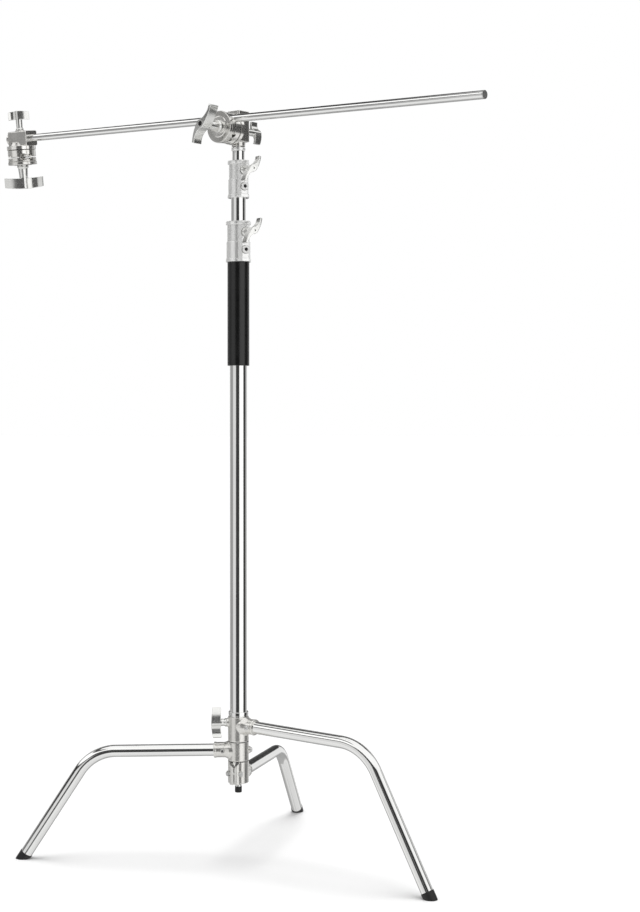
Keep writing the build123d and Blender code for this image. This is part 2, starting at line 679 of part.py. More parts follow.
# ---- Where the arm and the heads stand ---------------------------------------------------
def arm_frame():
    """Directions of the arm, of the disc axis of the main head, and of 'up' across the arm."""
    across = level(HEAD_FACING)
    flat = level(HEAD_FACING + 90)
    tilt = math.radians(ARM_TILT)
    along = flat * math.cos(tilt) + UP * math.sin(tilt)
    lift = UP * math.cos(tilt) - flat * math.sin(tilt)
    return along, across, lift


def arm_point(distance):
    """A point on the arm's axis, from the main head towards the free end."""
    along, across, lift = arm_frame()
    return UP * HEAD_HEIGHT + across * GRIP_PLANE + lift * GRIP_OFFSET + along * distance


def main_head():
    along, across, lift = arm_frame()
    centre = UP * HEAD_HEIGHT
    head_place = Plane(origin=centre, x_dir=UP, z_dir=across).location
    jaw_place = Plane(origin=centre, x_dir=lift, z_dir=across).location
    return grip_head("main", head_place, jaw_place, -25, -45)


def end_head():
    along, across, lift = arm_frame()
    roll = math.radians(END_HEAD_ROLL)
    down = lift * -math.cos(roll) - across * math.sin(roll)
    head_place = Plane(origin=arm_point(END_HEAD_PLACE), x_dir=along, z_dir=down).location
    jaw_place = head_place * Rot(0, 0, END_JAW_TURN)
    return grip_head("end", head_place, jaw_place, 25, 130)


def arm_tube():
    start = arm_point(END_HEAD_PLACE - ARM_INSET)
    end = arm_point(END_HEAD_PLACE - ARM_INSET + ARM_LENGTH)
    along = arm_frame()[0]
    return rod(start, end, PIN_R) - rod(start - along, end + along, PIN_R - ARM_WALL)


def arm_end_plugs():
    plugs = []
    along = arm_frame()[0]
    start = arm_point(END_HEAD_PLACE - ARM_INSET)
    end = arm_point(END_HEAD_PLACE - ARM_INSET + ARM_LENGTH)
    for point, outward in ((start, along * -1), (end, along)):
        stem = rod(point - outward * ARM_PLUG, point, PIN_R - ARM_WALL)
        plugs.append(stem + rod(point, point + outward * ARM_PLUG_RIM, PIN_R))
    return Compound(children=plugs)


# ---- The whole stand ---------------------------------------------------------------------
def legs():
    """Leg tube, foot and screw for each of the three legs."""
    nodes = {}
    for name, angle, foot, above, side in (
        ("rear", REAR_LEG_FACING, HUB_FOOT, BOTTOM_SOCKET_HEIGHT, -1),
        ("middle", MIDDLE_LEG_FACING, MIDDLE_CASTING_FOOT, MIDDLE_SOCKET_HEIGHT, 1),
        ("top", TOP_LEG_FACING, TOP_CASTING_FOOT, TOP_SOCKET_HEIGHT, -1),
    ):
        nodes[f"{name}_leg"] = leg_tube(angle, foot + above)
        nodes[f"{name}_foot"] = leg_foot(angle, foot + above)
        nodes[f"{name}_leg_screw"] = leg_screw(angle, foot + above, side)
    return nodes


def base():
    return {
        "bottom_casting": bottom_casting(),
        "pinch_bolt": pinch_bolt(),
        "middle_casting": middle_casting(),
        "middle_set_screw": middle_set_screw(),
        "top_casting": top_casting(),
        "base_wing": base_wing(),
        "leg_washers": leg_washers(),
        "base_plug": base_plug(),
        "stud_cap": stud_cap(),
    }


def column():
    column_bore = COLUMN_R - COLUMN_WALL
    riser_bore = RISER_1_R - RISER_1_WALL
    ring_foot = TOP_CASTING_TOP + 2 * PLAY
    spring_radius = column_bore - SPRING_WIRE_R - 1.2
    spring_top = SPRING_FOOT + SPRING_LENGTH
    return {
        "lower_column": ring(COLUMN_R, column_bore, COLUMN_FOOT, LOWER_STEP),
        "column_ring": ring(RING_R, COLUMN_R, ring_foot, ring_foot + RING_HEIGHT),
        "grip_sleeve": ring(SLEEVE_R, COLUMN_R, LOWER_COLLAR_FOOT - SLEEVE_LENGTH, LOWER_COLLAR_FOOT),
        "cushion_spring": coil(spring_radius, SPRING_WIRE_R, SPRING_PITCH, SPRING_FOOT, spring_top),
        "riser_one": riser_tube(RISER_1_R, RISER_1_WALL, GLIDE_1_FOOT, UPPER_STEP),
        "riser_one_glide": riser_glide(RISER_1_R, RISER_1_WALL, column_bore, GLIDE_1_FOOT),
        "riser_two": riser_tube(RISER_2_R, RISER_2_WALL, GLIDE_2_FOOT, RISER_2_TOP),
        "riser_two_glide": riser_glide(RISER_2_R, RISER_2_WALL, riser_bore, GLIDE_2_FOOT),
        "top_cap": ring(TOP_CAP_R, PIN_R, RISER_2_TOP, TOP_CAP_TOP),
        "top_spigot": top_spigot(),
    }


def collars():
    """Both locking collars with their screws and brake shoes."""
    nodes = {}
    for name, foot, height, tube_radius, riser_radius, wall, reach in (
        ("lower", LOWER_COLLAR_FOOT, LOWER_COLLAR_HEIGHT, COLUMN_R, RISER_1_R,
         LOWER_COLLAR_WALL, LOWER_BOSS_REACH),
        ("upper", UPPER_COLLAR_FOOT, UPPER_COLLAR_HEIGHT, RISER_1_R, RISER_2_R,
         UPPER_COLLAR_WALL, UPPER_BOSS_REACH),
    ):
        nodes[f"{name}_collar"] = locking_collar(foot, height, tube_radius, riser_radius, wall, reach)
        nodes[f"{name}_collar_screw"] = collar_cap_screw(foot, height, tube_radius, reach)
        nodes[f"{name}_brake_shoe"] = brake_shoe(foot, height, riser_radius)
        nodes[f"{name}_wing"] = collar_wing(foot, height, riser_radius, reach, 45)
    return nodes


def arm():
    return {"arm_tube": arm_tube(), "arm_end_plugs": arm_end_plugs()}


def main():
    os.makedirs("parts", exist_ok=True)
    for group in (legs(), base(), column(), collars(), main_head(), end_head(), arm()):
        for node, shape in group.items():
            export_step(shape, f"parts/{node}.step")


main()
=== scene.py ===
import bpy
import json
import math
from mathutils import Matrix, Vector


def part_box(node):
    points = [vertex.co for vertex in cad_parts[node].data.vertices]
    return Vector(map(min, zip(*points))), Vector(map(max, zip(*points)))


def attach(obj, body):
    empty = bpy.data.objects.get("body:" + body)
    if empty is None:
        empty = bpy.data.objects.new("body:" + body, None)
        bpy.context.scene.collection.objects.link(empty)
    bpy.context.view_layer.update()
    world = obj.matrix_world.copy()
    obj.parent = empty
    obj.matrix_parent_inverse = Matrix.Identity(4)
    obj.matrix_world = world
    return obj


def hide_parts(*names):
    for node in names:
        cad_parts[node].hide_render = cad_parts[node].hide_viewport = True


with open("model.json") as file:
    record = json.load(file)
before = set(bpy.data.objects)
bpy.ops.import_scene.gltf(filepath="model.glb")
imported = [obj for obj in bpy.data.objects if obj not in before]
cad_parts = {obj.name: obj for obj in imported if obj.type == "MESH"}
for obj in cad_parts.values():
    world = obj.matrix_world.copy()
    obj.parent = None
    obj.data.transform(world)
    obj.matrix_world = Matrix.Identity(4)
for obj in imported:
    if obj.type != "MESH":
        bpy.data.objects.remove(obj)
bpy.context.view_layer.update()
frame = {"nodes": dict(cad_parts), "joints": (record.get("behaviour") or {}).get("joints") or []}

# ---- Sizes, in millimetres ---------------------------------------------------------------
MM = 0.001
COLUMN_R = 17.5
COLUMN_WALL = 1.5
RISER_1_R = 15.0
RISER_2_R = 12.5
RISER_WALL = 1.2
SLEEVE_R = 22.5
CASTING_R = 21.5
SOCKET_R = 16.5
LEG_R = 12.5
LEG_ROOT = 22.5
LEG_REACH = 452.0
KNEE_REACH = 305.0
KNEE_RADIUS = 95.0
LEG_FALL = math.radians(1.7)   # slope of a leg before its knee
REAR_LEG_FACING = 75.1         # degrees, like the next two
MIDDLE_LEG_FACING = 175.0
TOP_LEG_FACING = -33.1
BOTTOM_SOCKET_HEIGHT = 17.7    # leg axis above its casting's lower face
MIDDLE_SOCKET_HEIGHT = 21.8
TOP_SOCKET_HEIGHT = 33.0
BOTTOM_SOCKET_REACH = 46.0
MIDDLE_SOCKET_REACH = 50.0
TOP_SOCKET_REACH = 43.0
FOOT_SOLE = 3.0
FOOT_LENGTH = 15.0
FOOT_WALL = 0.8
LEG_SCREW_PLACE = 31.0
LEG_SCREW_HEAD_R = 4.5
LEG_SCREW_HEAD = 2.4
SET_SCREW_HEAD_R = 5.5
SET_SCREW_HEAD = 3.5
SET_BOSS_R = 7.0
SET_BOSS_REACH = 25.0
BASE_WING_BOSS_R = 9.0
BASE_WING_BOSS_REACH = 24.5
BASE_WING_SHAFT = 10.0
EAR_HALF = 11.5                # half width of the split clamp's ears
SLIT = 2.0
PINCH_BOLT_R = 3.0
PINCH_BOLT_PLACE = 25.75
STUD_R = 6.5
STUD_CAP_R = 7.1
PIN_R = 8.0
RUN = 0.05                     # running clearance
RING_R = 20.5
TOP_CAP_R = 14.5
THREAD_R = 5.0
COLLAR_FACING = -60.0
COLLAR_FLANGE = 6.5
COLLAR_STEP = 1.5
FLANGE_LIP = 1.2
BOSS_WIDTH = 24.0
LOWER_COLLAR_WALL = 7.0
UPPER_COLLAR_WALL = 5.8
LOWER_BOSS_REACH = 32.0
UPPER_BOSS_REACH = 27.0
BRAKE_SHOE = 5.0               # from a riser to the end of its wing screw
COLLAR_WING_SHAFT = 20.0
CAP_SCREW_R = 8.5
KEY_R = 4.2
WING_HALF = 31.0
HEAD_WING_HALF = 24.0
HEAD_WING_SHAFT = 22.0
WING_DEPTH = 21.0
WING_HUB_R = 7.5
WING_BASE_R = 8.8
WING_TIP = 4.2
WING_SWEEP = 6.5
CLAMP_HALF = 44.0
CLAMP_DEPTH = 26.0
CLAMP_HUB_R = 9.5
CLAMP_BASE_R = 13.0
CLAMP_TIP = 6.0
CLAMP_SWEEP = 9.0
CLAMP_SHAFT = 25.0
PLATE_R = 32.5
JAW_R = 31.5
PLATE_THICKNESS = 8.0
BLOCK_HALF = 17.0
BLOCK_SIDE = 16.5
BLOCK_UP = 38.0
BLOCK_DOWN = 24.0
NECK_LENGTH = 10.0
NECK_R = 14.0
LOCK_BOSS = 3.0
LOCK_BOSS_R = 10.0
PLAY = 0.2
INNER_JAW = 15.7
OUTER_JAW = 17.0
JAW_GAP = 2.0
JAW_SPRING_POCKET = 8.0
JAW_SPRING_POCKET_R = 9.0
GRIP_OFFSET = 17.0             # from the disc axis to each grip groove
HALF_INCH_R = 6.35
SMALL_GRIP = 6.0
SMALLER_GRIP = 4.5
THRUST_WASHER = 2.0
BOLT_START = 10.0
PLATE_FACE = BLOCK_HALF + PLATE_THICKNESS
INNER_JAW_START = PLATE_FACE + PLAY
INNER_JAW_END = INNER_JAW_START + INNER_JAW
GRIP_PLANE = INNER_JAW_END + JAW_GAP / 2
OUTER_JAW_START = INNER_JAW_END + JAW_GAP
OUTER_JAW_END = OUTER_JAW_START + OUTER_JAW
CLAMP_SEAT = OUTER_JAW_END + PLAY + THRUST_WASHER + PLAY
LOCK_SEAT = BLOCK_HALF + LOCK_BOSS + PLAY
END_JAW_TURN = math.radians(-24)
ARM_LENGTH = 1300.0
ARM_WALL = 1.6
TEETH = 72
TOOTH_DEPTH = 1.1
FAR = 99.0                     # past any piece, for tools that cut right through
Z_TO_X = Matrix(((0, 0, 1), (1, 0, 0), (0, 1, 0))).to_4x4()
Z_TO_BACK = Matrix(((1, 0, 0), (0, 0, -1), (0, 1, 0))).to_4x4()

UP = Vector((0, 0, 1))
JOINTS = {joint["name"]: joint for joint in frame["joints"]}


def joint_axis(name):
    return Vector(JOINTS[name]["axis"]).normalized()


def joint_place(name):
    return Vector(JOINTS[name]["pos_m"]) / MM


def node_span(node):
    """Lowest and highest point of a node, in millimetres."""
    low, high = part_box(node)
    return low / MM, high / MM


def level(degrees):
    angle = math.radians(degrees)
    return Vector((math.cos(angle), math.sin(angle), 0))


def placing(origin, x_axis, z_axis):
    """A matrix whose Z and X point along the two axes."""
    z_axis = z_axis.normalized()
    x_axis = (x_axis - z_axis * x_axis.dot(z_axis)).normalized()
    y_axis = z_axis.cross(x_axis)
    turn = Matrix((x_axis, y_axis, z_axis)).transposed().to_4x4()
    return Matrix.Translation(origin) @ turn


def turned(degrees):
    return Matrix.Rotation(math.radians(degrees), 4, "Z")


def facing_way(degrees):
    """Turns a body built along X to a level direction."""
    return placing(Vector((0, 0, 0)), level(degrees), UP)


# ---- Outlines ----------------------------------------------------------------------------
def rounded(corners, radii, steps=4, loop=True):
    """An outline whose corners are arcs. A corner's radius is limited by the runs beside it."""
    points = []
    count = len(corners)
    for index, corner in enumerate(corners):
        corner = Vector(corner)
        radius = radii if isinstance(radii, (int, float)) else radii[index]
        at_end = not loop and index in (0, count - 1)
        if at_end or radius == 0:
            points.append(corner)
            continue
        back = Vector(corners[index - 1]) - corner
        ahead = Vector(corners[(index + 1) % count]) - corner
        half_angle = back.angle(ahead) / 2
        reach = min(radius / math.tan(half_angle), 0.49 * back.length, 0.49 * ahead.length)
        start = corner + back.normalized() * reach
        end = corner + ahead.normalized() * reach
        bend = reach * math.tan(half_angle)
        centre = corner + (back.normalized() + ahead.normalized()).normalized() * (
            math.hypot(reach, bend)
        )
        first = start - centre
        last = end - centre
        for step in range(steps + 1):
            share = step / steps
            sweep = math.pi - 2 * half_angle
            low = math.sin((1 - share) * sweep) / math.sin(sweep)
            high = math.sin(share * sweep) / math.sin(sweep)
            points.append(centre + first * low + last * high)
    return points


def arc_points(start, middle, end, count):
    """Points of the circle arc through three points."""
    (ax, ay), (bx, by), (cx, cy) = start, middle, end
    across = 2 * (ax * (by - cy) + bx * (cy - ay) + cx * (ay - by))
    a2, b2, c2 = ax * ax + ay * ay, bx * bx + by * by, cx * cx + cy * cy
    ux = (a2 * (by - cy) + b2 * (cy - ay) + c2 * (ay - by)) / across
    uy = (a2 * (cx - bx) + b2 * (ax - cx) + c2 * (bx - ax)) / across
    radius = math.hypot(ax - ux, ay - uy)
    first = math.atan2(ay - uy, ax - ux)
    mid = math.atan2(by - uy, bx - ux)
    last = math.atan2(cy - uy, cx - ux)
    if (mid - first) % math.tau < (last - first) % math.tau:
        sweep = (last - first) % math.tau
    else:
        sweep = -((first - last) % math.tau)
    angles = [first + sweep * step / count for step in range(count + 1)]
    return [Vector((ux + radius * math.cos(a), uy + radius * math.sin(a))) for a in angles]


def circle(radius, count=96):
    return [
        Vector((radius * math.cos(math.tau * i / count), radius * math.sin(math.tau * i / count)))
        for i in range(count)
    ]


# ---- Meshes ------------------------------------------------------------------------------
def piece_from(name, points, faces, uvs=None):
    """A new object from points in millimetres."""
    mesh = bpy.data.meshes.new(name)
    mesh.from_pydata([Vector(p) * MM for p in points], [], faces)
    mesh.validate()
    if uvs:
        layer = mesh.uv_layers.new(name="along")
        for loop in mesh.loops:
            layer.data[loop.index].uv = uvs[loop.vertex_index]
    piece = bpy.data.objects.new(name, mesh)
    bpy.context.scene.collection.objects.link(piece)
    return piece


def skin(name, rings, loop=False):
    """Joins rings of equal length into one closed skin."""
    count = len(rings[0])
    points = [point for one in rings for point in one]
    uvs = []
    run = 0.0
    for index, one in enumerate(rings):
        if index:
            run += (Vector(one[0]) - Vector(rings[index - 1][0])).length
        uvs += [(step / count, run * MM) for step in range(count)]
    faces = []
    spans = len(rings) if loop else len(rings) - 1
    for ring_index in range(spans):
        low = ring_index * count
        high = ((ring_index + 1) % len(rings)) * count
        for step in range(count):
            ahead = (step + 1) % count
            faces.append((low + step, low + ahead, high + ahead, high + step))
    if not loop:
        faces.append(tuple(reversed(range(count))))
        faces.append(tuple(range(len(points) - count, len(points))))
    return piece_from(name, points, faces, uvs)


def lathe(name, profile, count=96, loop=False):
    """Turns a profile of (radius, height) about Z. A looped profile makes a hollow ring."""
    rings = [
        [Vector((point.x, point.y, height)) for point in circle(max(radius, 0.01), count)]
        for radius, height in profile
    ]
    return skin(name, rings, loop)


def solid_lathe(name, corners, radii, count=96):
    """A turned body from a profile that starts and ends on the axis, with rounded corners."""
    return lathe(name, rounded(corners, radii, loop=False), count)


def tube(name, outer, inner, low, high, edge=0.5, count=96):
    """A round tube with softened ends."""
    corners = [(outer, low), (outer, high), (inner, high), (inner, low)]
    return lathe(name, rounded(corners, edge), count, loop=True)


def pin(name, radius, low, high, edge=0.6, count=64):
    corners = [(0.01, low), (radius, low), (radius, high), (0.01, high)]
    return solid_lathe(name, corners, [0, edge, edge, 0], count)


def prism(name, outline, low, high):
    """A straight body between two heights."""
    rings = [[Vector((p.x, p.y, height)) for p in outline] for height in (low, high)]
    return skin(name, rings)


def block(name, x_range, y_range, z_range):
    (left, right), (near, far) = x_range, y_range
    corners = [(left, near), (right, near), (right, far), (left, far)]
    return prism(name, [Vector(corner) for corner in corners], *z_range)


def moved(piece, matrix):
    """Moves a piece's points by a matrix that is in millimetres."""
    scaled = Matrix.Translation(matrix.translation * MM) @ matrix.to_3x3().to_4x4()
    piece.data.transform(scaled)
    piece.data.update()
    return piece


def lying(piece, start, end):
    """Moves a piece that was built on Z so that its Z runs from one point towards another."""
    direction = (Vector(end) - Vector(start)).normalized()
    side = Vector((1, 0, 0)) if abs(direction.x) < 0.9 else Vector((0, 1, 0))
    return moved(piece, placing(Vector(start), side, direction))


def bar(start, end, radius, count=64):
    span = (Vector(end) - Vector(start)).length
    return lying(pin("bar", radius, 0, span, edge=0, count=count), start, end)


def taken(piece, *modifiers):
    """Applies modifiers, given as (type, settings), to a piece's mesh."""
    for kind, settings in modifiers:
        modifier = piece.modifiers.new(kind.lower(), kind)
        for key, value in settings.items():
            setattr(modifier, key, value)
    shape = piece.evaluated_get(bpy.context.evaluated_depsgraph_get())
    mesh = bpy.data.meshes.new_from_object(shape)
    old = piece.data
    piece.modifiers.clear()
    piece.data = mesh
    mesh.name = piece.name
    bpy.data.meshes.remove(old)
    return piece


def scrap(*pieces):
    for piece in pieces:
        bpy.data.objects.remove(piece)


def joined(name, *pieces):
    """One object that holds the closed shells of several."""
    points, faces = [], []
    for piece in pieces:
        start = len(points)
        points += [vertex.co / MM for vertex in piece.data.vertices]
        faces += [tuple(start + v for v in face.vertices) for face in piece.data.polygons]
    scrap(*pieces)
    return piece_from(name, points, faces)


def cut(piece, *tools, operation="DIFFERENCE"):
    """Cuts a piece with closed tools, one after another."""
    for tool in tools:
        settings = {"operation": operation, "object": tool, "solver": "MANIFOLD"}
        taken(piece, ("BOOLEAN", settings))
    scrap(*tools)
    return piece


def cast(name, shells, voxel=0.8, soften=6):
    """Melts overlapping shells into one casting with softened edges."""
    whole = joined(name, *shells)
    remesh = {"mode": "VOXEL", "voxel_size": voxel * MM, "adaptivity": 0.0}
    smooth = {"factor": 0.5, "iterations": soften}
    return taken(whole, ("REMESH", remesh), ("SMOOTH", smooth))


def shaded(piece, angle=35):
    """Smooth shading, with sharp edges kept above an angle."""
    mesh = piece.data
    mesh.shade_smooth()
    mesh.set_sharp_from_angle(angle=math.radians(angle))
    return taken(piece, ("WEIGHTED_NORMAL", {"mode": "FACE_AREA", "keep_sharp": True}))


def finished(piece, name, nodes, body, material, angle=35):
    """Names a finished piece, and puts it on its body in place of its nodes."""
    piece.name = name
    shaded(piece, angle)
    piece.data.materials.clear()
    piece.data.materials.append(material)
    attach(piece, body)
    if nodes:
        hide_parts(*nodes)
    return piece


# ---- Shader tools ------------------------------------------------------------------------
class Wire:
    """One output in a shader, with arithmetic on values."""

    def __init__(self, maker, socket):
        self.maker = maker
        self.socket = socket

    def sibling(self, key):
        """Another output of the same node."""
        return Wire(self.maker, self.socket.node.outputs[key])

    def math(self, operation, *values):
        return self.maker.node("ShaderNodeMath", {"operation": operation}, *values)

    def __add__(self, other):
        return self.math("ADD", self, other)

    def __sub__(self, other):
        return self.math("SUBTRACT", self, other)

    def __mul__(self, other):
        return self.math("MULTIPLY", self, other)

    def __truediv__(self, other):
        return self.math("DIVIDE", self, other)

    def __pow__(self, other):
        return self.math("POWER", self, other)

    def __rsub__(self, other):
        return self.math("SUBTRACT", other, self)

    def __rtruediv__(self, other):
        return self.math("DIVIDE", other, self)

    __radd__ = __add__
    __rmul__ = __mul__


class Maker:
    """Adds nodes to one node tree."""

    def __init__(self, tree):
        self.tree = tree
        tree.nodes.clear()

    def node(self, kind, settings=None, *values, output=0, **named):
        """A node of any type: its settings first, then values or links for its sockets."""
        node = self.tree.nodes.new(kind)
        for key, value in (settings or {}).items():
            if key == "stops":
                self.set_stops(node.color_ramp, value)
            else:
                setattr(node, key, value)
        for index, value in enumerate(values):
            self.feed(node.inputs[index], value)
        for key, value in named.items():
            self.feed(node.inputs[key.replace("_", " ")], value)
        return Wire(self, node.outputs[output])

    def feed(self, socket, value):
        if isinstance(value, Wire):
            self.tree.links.new(value.socket, socket)
        else:
            socket.default_value = value

    def set_stops(self, ramp, stops):
        while len(ramp.elements) > 1:
            ramp.elements.remove(ramp.elements[-1])
        for index, (place, value) in enumerate(stops):
            element = ramp.elements[0] if index == 0 else ramp.elements.new(place)
            element.position = place
            element.color = (value, value, value, 1) if isinstance(value, (int, float)) else value

    def ramp(self, value, *stops):
        return self.node("ShaderNodeValToRGB", {"stops": stops}, value)

    def noise(self, place, scale, detail=3.0, roughness=0.5):
        return self.node(
            "ShaderNodeTexNoise", {}, Vector=place, Scale=scale, Detail=detail, Roughness=roughness
        )

    def stretched(self, place, scale):
        return self.node("ShaderNodeMapping", {}, Vector=place, Scale=scale)

    def mixed(self, share, low, high):
        """A colour between two colours."""
        mix = self.node("ShaderNodeMix", {"data_type": "RGBA"}, share, output=2)
        self.feed(mix.socket.node.inputs[6], low)
        self.feed(mix.socket.node.inputs[7], high)
        return mix

    def coordinates(self, kind="Object"):
        return self.node("ShaderNodeTexCoord", {}, output=kind)

    def edges(self):
        """About 0.5 on flat faces, more on outer edges and less in hollows."""
        return self.node("ShaderNodeNewGeometry", {}, output="Pointiness")

    def bump(self, height, strength, distance):
        return self.node(
            "ShaderNodeBump", {}, Height=height, Strength=strength, Distance=distance
        )


def new_surface(name):
    """A material with its maker and its Principled shader."""
    material = bpy.data.materials.new(name)
    material.use_nodes = True
    maker = Maker(material.node_tree)
    shader = maker.tree.nodes.new("ShaderNodeBsdfPrincipled")
    output = maker.tree.nodes.new("ShaderNodeOutputMaterial")
    maker.tree.links.new(shader.outputs[0], output.inputs[0])
    return material, maker, shader


def set_shader(maker, shader, **values):
    for key, value in values.items():
        maker.feed(shader.inputs[key.replace("_", " ")], value)


# ---- Materials ---------------------------------------------------------------------------
def polished_tube():
    """Polished stainless tube: faint lines along it and small changes in gloss."""
    material, make, shader = new_surface("polished_tube")
    along = make.coordinates("UV")
    lines = make.noise(make.stretched(along, (260, 6, 1)), 1.0, 2.0)
    cloud = make.noise(make.coordinates(), 14.0, 4.0)
    specks = make.ramp(make.noise(make.coordinates(), 900.0, 2.0), (0.66, 0.0), (0.74, 1.0))
    colour = make.mixed(cloud, (0.80, 0.80, 0.79, 1), (0.90, 0.90, 0.89, 1))
    rough = 0.045 + lines * 0.05 + cloud * 0.05 + specks * 0.10
    set_shader(
        make, shader, Base_Color=colour, Metallic=1.0, Roughness=rough,
        Normal=make.bump(lines, 0.05, 0.0002),
    )
    return material


HOLLOW_SHADE = (0.12, 0.12, 0.11, 1)  # painted shade in the narrow corners of a casting


def cast_metal(name, dark, light, rough, grain, edge_light, metallic):
    """Plated casting: fine grain, soft clouds, brighter edges (wear together with a painted highlight on
    the rims) and painted shade in the hollows.
    """
    material, make, shader = new_surface(name)
    place = make.coordinates()
    cloud = make.noise(place, 45.0, 5.0)
    fine = make.noise(place, 900.0, 2.0)
    # Outer edges get a lighter colour and less roughness: partly wear, partly a painted highlight on the
    # rims.
    wear_and_rim_highlight = make.ramp(make.edges(), (0.43, 0.0), (0.50, 0.45), (0.58, 1.0))
    shade = cloud * 0.45 + wear_and_rim_highlight * edge_light
    # Where pointiness is low, in the hollows, the colour turns to the painted shade colour.
    open_face = make.ramp(make.edges(), (0.30, 0.0), (0.42, 1.0))
    colour = make.mixed(open_face, HOLLOW_SHADE, make.mixed(shade, dark, light))
    gloss = rough + cloud * 0.10 + fine * 0.06 - wear_and_rim_highlight * 0.08
    set_shader(
        make, shader, Base_Color=colour, Metallic=metallic, Roughness=gloss,
        Normal=make.bump(fine + cloud * 0.6, grain, 0.0004),
    )
    return material


def screw_metal():
    """Plated screws, with soft random changes in tone and gloss."""
    material, make, shader = new_surface("screw_metal")
    place = make.coordinates()
    cloud = make.noise(place, 160.0, 4.0)
    colour = make.mixed(cloud, (0.55, 0.55, 0.54, 1), (0.86, 0.86, 0.85, 1))
    set_shader(
        make, shader, Base_Color=colour, Metallic=1.0, Roughness=0.18 + cloud * 0.16,
        Normal=make.bump(cloud, 0.1, 0.0003),
    )
    return material


def black_rubber(name, rough, grain_scale):
    """Matt black rubber with a fine moulded grain and a little dust."""
    material, make, shader = new_surface(name)
    place = make.coordinates()
    grain = make.noise(place, grain_scale, 2.0)
    dust = make.noise(place, 30.0, 5.0)
    colour = make.mixed(dust, (0.003, 0.003, 0.003, 1), (0.012, 0.012, 0.012, 1))
    set_shader(
        make, shader, Base_Color=colour, Roughness=rough + dust * 0.14,
        Normal=make.bump(grain, 0.25, 0.0003),
    )
    return material


def guide_plastic():
    material, make, shader = new_surface("guide_plastic")
    cloud = make.noise(make.coordinates(), 80.0, 3.0)
    colour = make.mixed(cloud, (0.03, 0.03, 0.03, 1), (0.07, 0.07, 0.07, 1))
    set_shader(make, shader, Base_Color=colour, Roughness=0.45 + cloud * 0.15)
    return material


def painted_hole_shade():
    """Near-black colour for a piece set inside a hole: painted shade at the bottom of the hole."""
    material, make, shader = new_surface("painted_hole_shade")
    cloud = make.noise(make.coordinates(), 300.0, 3.0)
    colour = make.mixed(cloud, (0.002, 0.002, 0.002, 1), (0.010, 0.010, 0.009, 1))
    set_shader(make, shader, Base_Color=colour, Roughness=0.5 + cloud * 0.2)
    return material


def brake_brass():
    material, make, shader = new_surface("brake_brass")
    cloud = make.noise(make.coordinates(), 120.0, 3.0)
    colour = make.mixed(cloud, (0.55, 0.38, 0.14, 1), (0.80, 0.62, 0.28, 1))
    set_shader(make, shader, Base_Color=colour, Metallic=1.0, Roughness=0.25 + cloud * 0.2)
    return material


TUBE = polished_tube()
NICKEL = cast_metal(
    "satin_nickel", dark=(0.56, 0.55, 0.52, 1), light=(0.95, 0.94, 0.91, 1),
    rough=0.22, grain=0.05, edge_light=0.7, metallic=0.86,
)
BRIGHT = cast_metal(
    "bright_nickel", dark=(0.80, 0.80, 0.79, 1), light=(0.98, 0.98, 0.97, 1),
    rough=0.20, grain=0.02, edge_light=0.6, metallic=0.62,
)
HANDLE = cast_metal(
    "tumbled_handle", dark=(0.60, 0.60, 0.58, 1), light=(0.96, 0.96, 0.94, 1),
    rough=0.14, grain=0.04, edge_light=0.65, metallic=0.92,
)
HEAD = cast_metal(
    "head_casting", dark=(0.40, 0.39, 0.37, 1), light=(0.95, 0.94, 0.91, 1),
    rough=0.16, grain=0.08, edge_light=0.7, metallic=0.92,
)
SCREW = screw_metal()
SLEEVE_RUBBER = black_rubber("sleeve_rubber", 0.14, 2600.0)
FOOT_RUBBER = black_rubber("foot_rubber", 0.42, 1400.0)
PLASTIC = guide_plastic()
BRASS = brake_brass()
HOLE_SHADE = painted_hole_shade()


# ---- Column ------------------------------------------------------------------------------
def column_tubes():
    for node, radius, bore, body in (
        ("lower_column", COLUMN_R, COLUMN_R - COLUMN_WALL, "base_and_column"),
        ("riser_one", RISER_1_R, RISER_1_R - RISER_WALL, "riser_one"),
        ("riser_two", RISER_2_R, RISER_2_R - RISER_WALL, "riser_two"),
    ):
        low, high = node_span(node)
        piece = tube(node, radius, bore, low.z, high.z, edge=0.4, count=128)
        finished(piece, f"{node}_tube", [node], body, TUBE)


def column_rings():
    low, high = node_span("column_ring")
    corners = [
        (COLUMN_R, low.z), (RING_R - 0.6, low.z), (RING_R - 0.6, low.z + 2.2),
        (RING_R, low.z + 2.8), (RING_R, high.z), (COLUMN_R, high.z),
    ]
    piece = lathe("ring", rounded(corners, [0, 0.4, 0.2, 0.2, 1.2, 0]), loop=True)
    finished(piece, "base_ring", ["column_ring"], "base_and_column", TUBE)
    low, high = node_span("top_cap")
    corners = [
        (PIN_R, low.z), (TOP_CAP_R - 1, low.z), (TOP_CAP_R, low.z + 1.4),
        (TOP_CAP_R, high.z), (PIN_R, high.z),
    ]
    piece = lathe("cap", rounded(corners, [0, 0.3, 0.3, 1.6, 0]), loop=True)
    finished(piece, "riser_cap", ["top_cap"], "riser_two", BRIGHT)


def sleeve():
    low, high = node_span("grip_sleeve")
    corners = [(COLUMN_R, low.z), (SLEEVE_R, low.z), (SLEEVE_R, high.z), (COLUMN_R, high.z)]
    piece = lathe("sleeve", rounded(corners, [0, 1.3, 1.3, 0]), count=128, loop=True)
    finished(piece, "sleeve", ["grip_sleeve"], "base_and_column", SLEEVE_RUBBER)


def stud_and_cap():
    low, high = node_span("stud_cap")
    corners = [
        (0.01, low.z), (STUD_CAP_R, low.z), (STUD_CAP_R, high.z),
        (STUD_R, high.z), (STUD_R, low.z + 2), (0.01, low.z + 2),
    ]
    piece = solid_lathe("cap", corners, [0, 1.2, 0.3, 0, 0, 0], 64)
    finished(piece, "bottom_cap", ["stud_cap"], "base_and_column", FOOT_RUBBER)


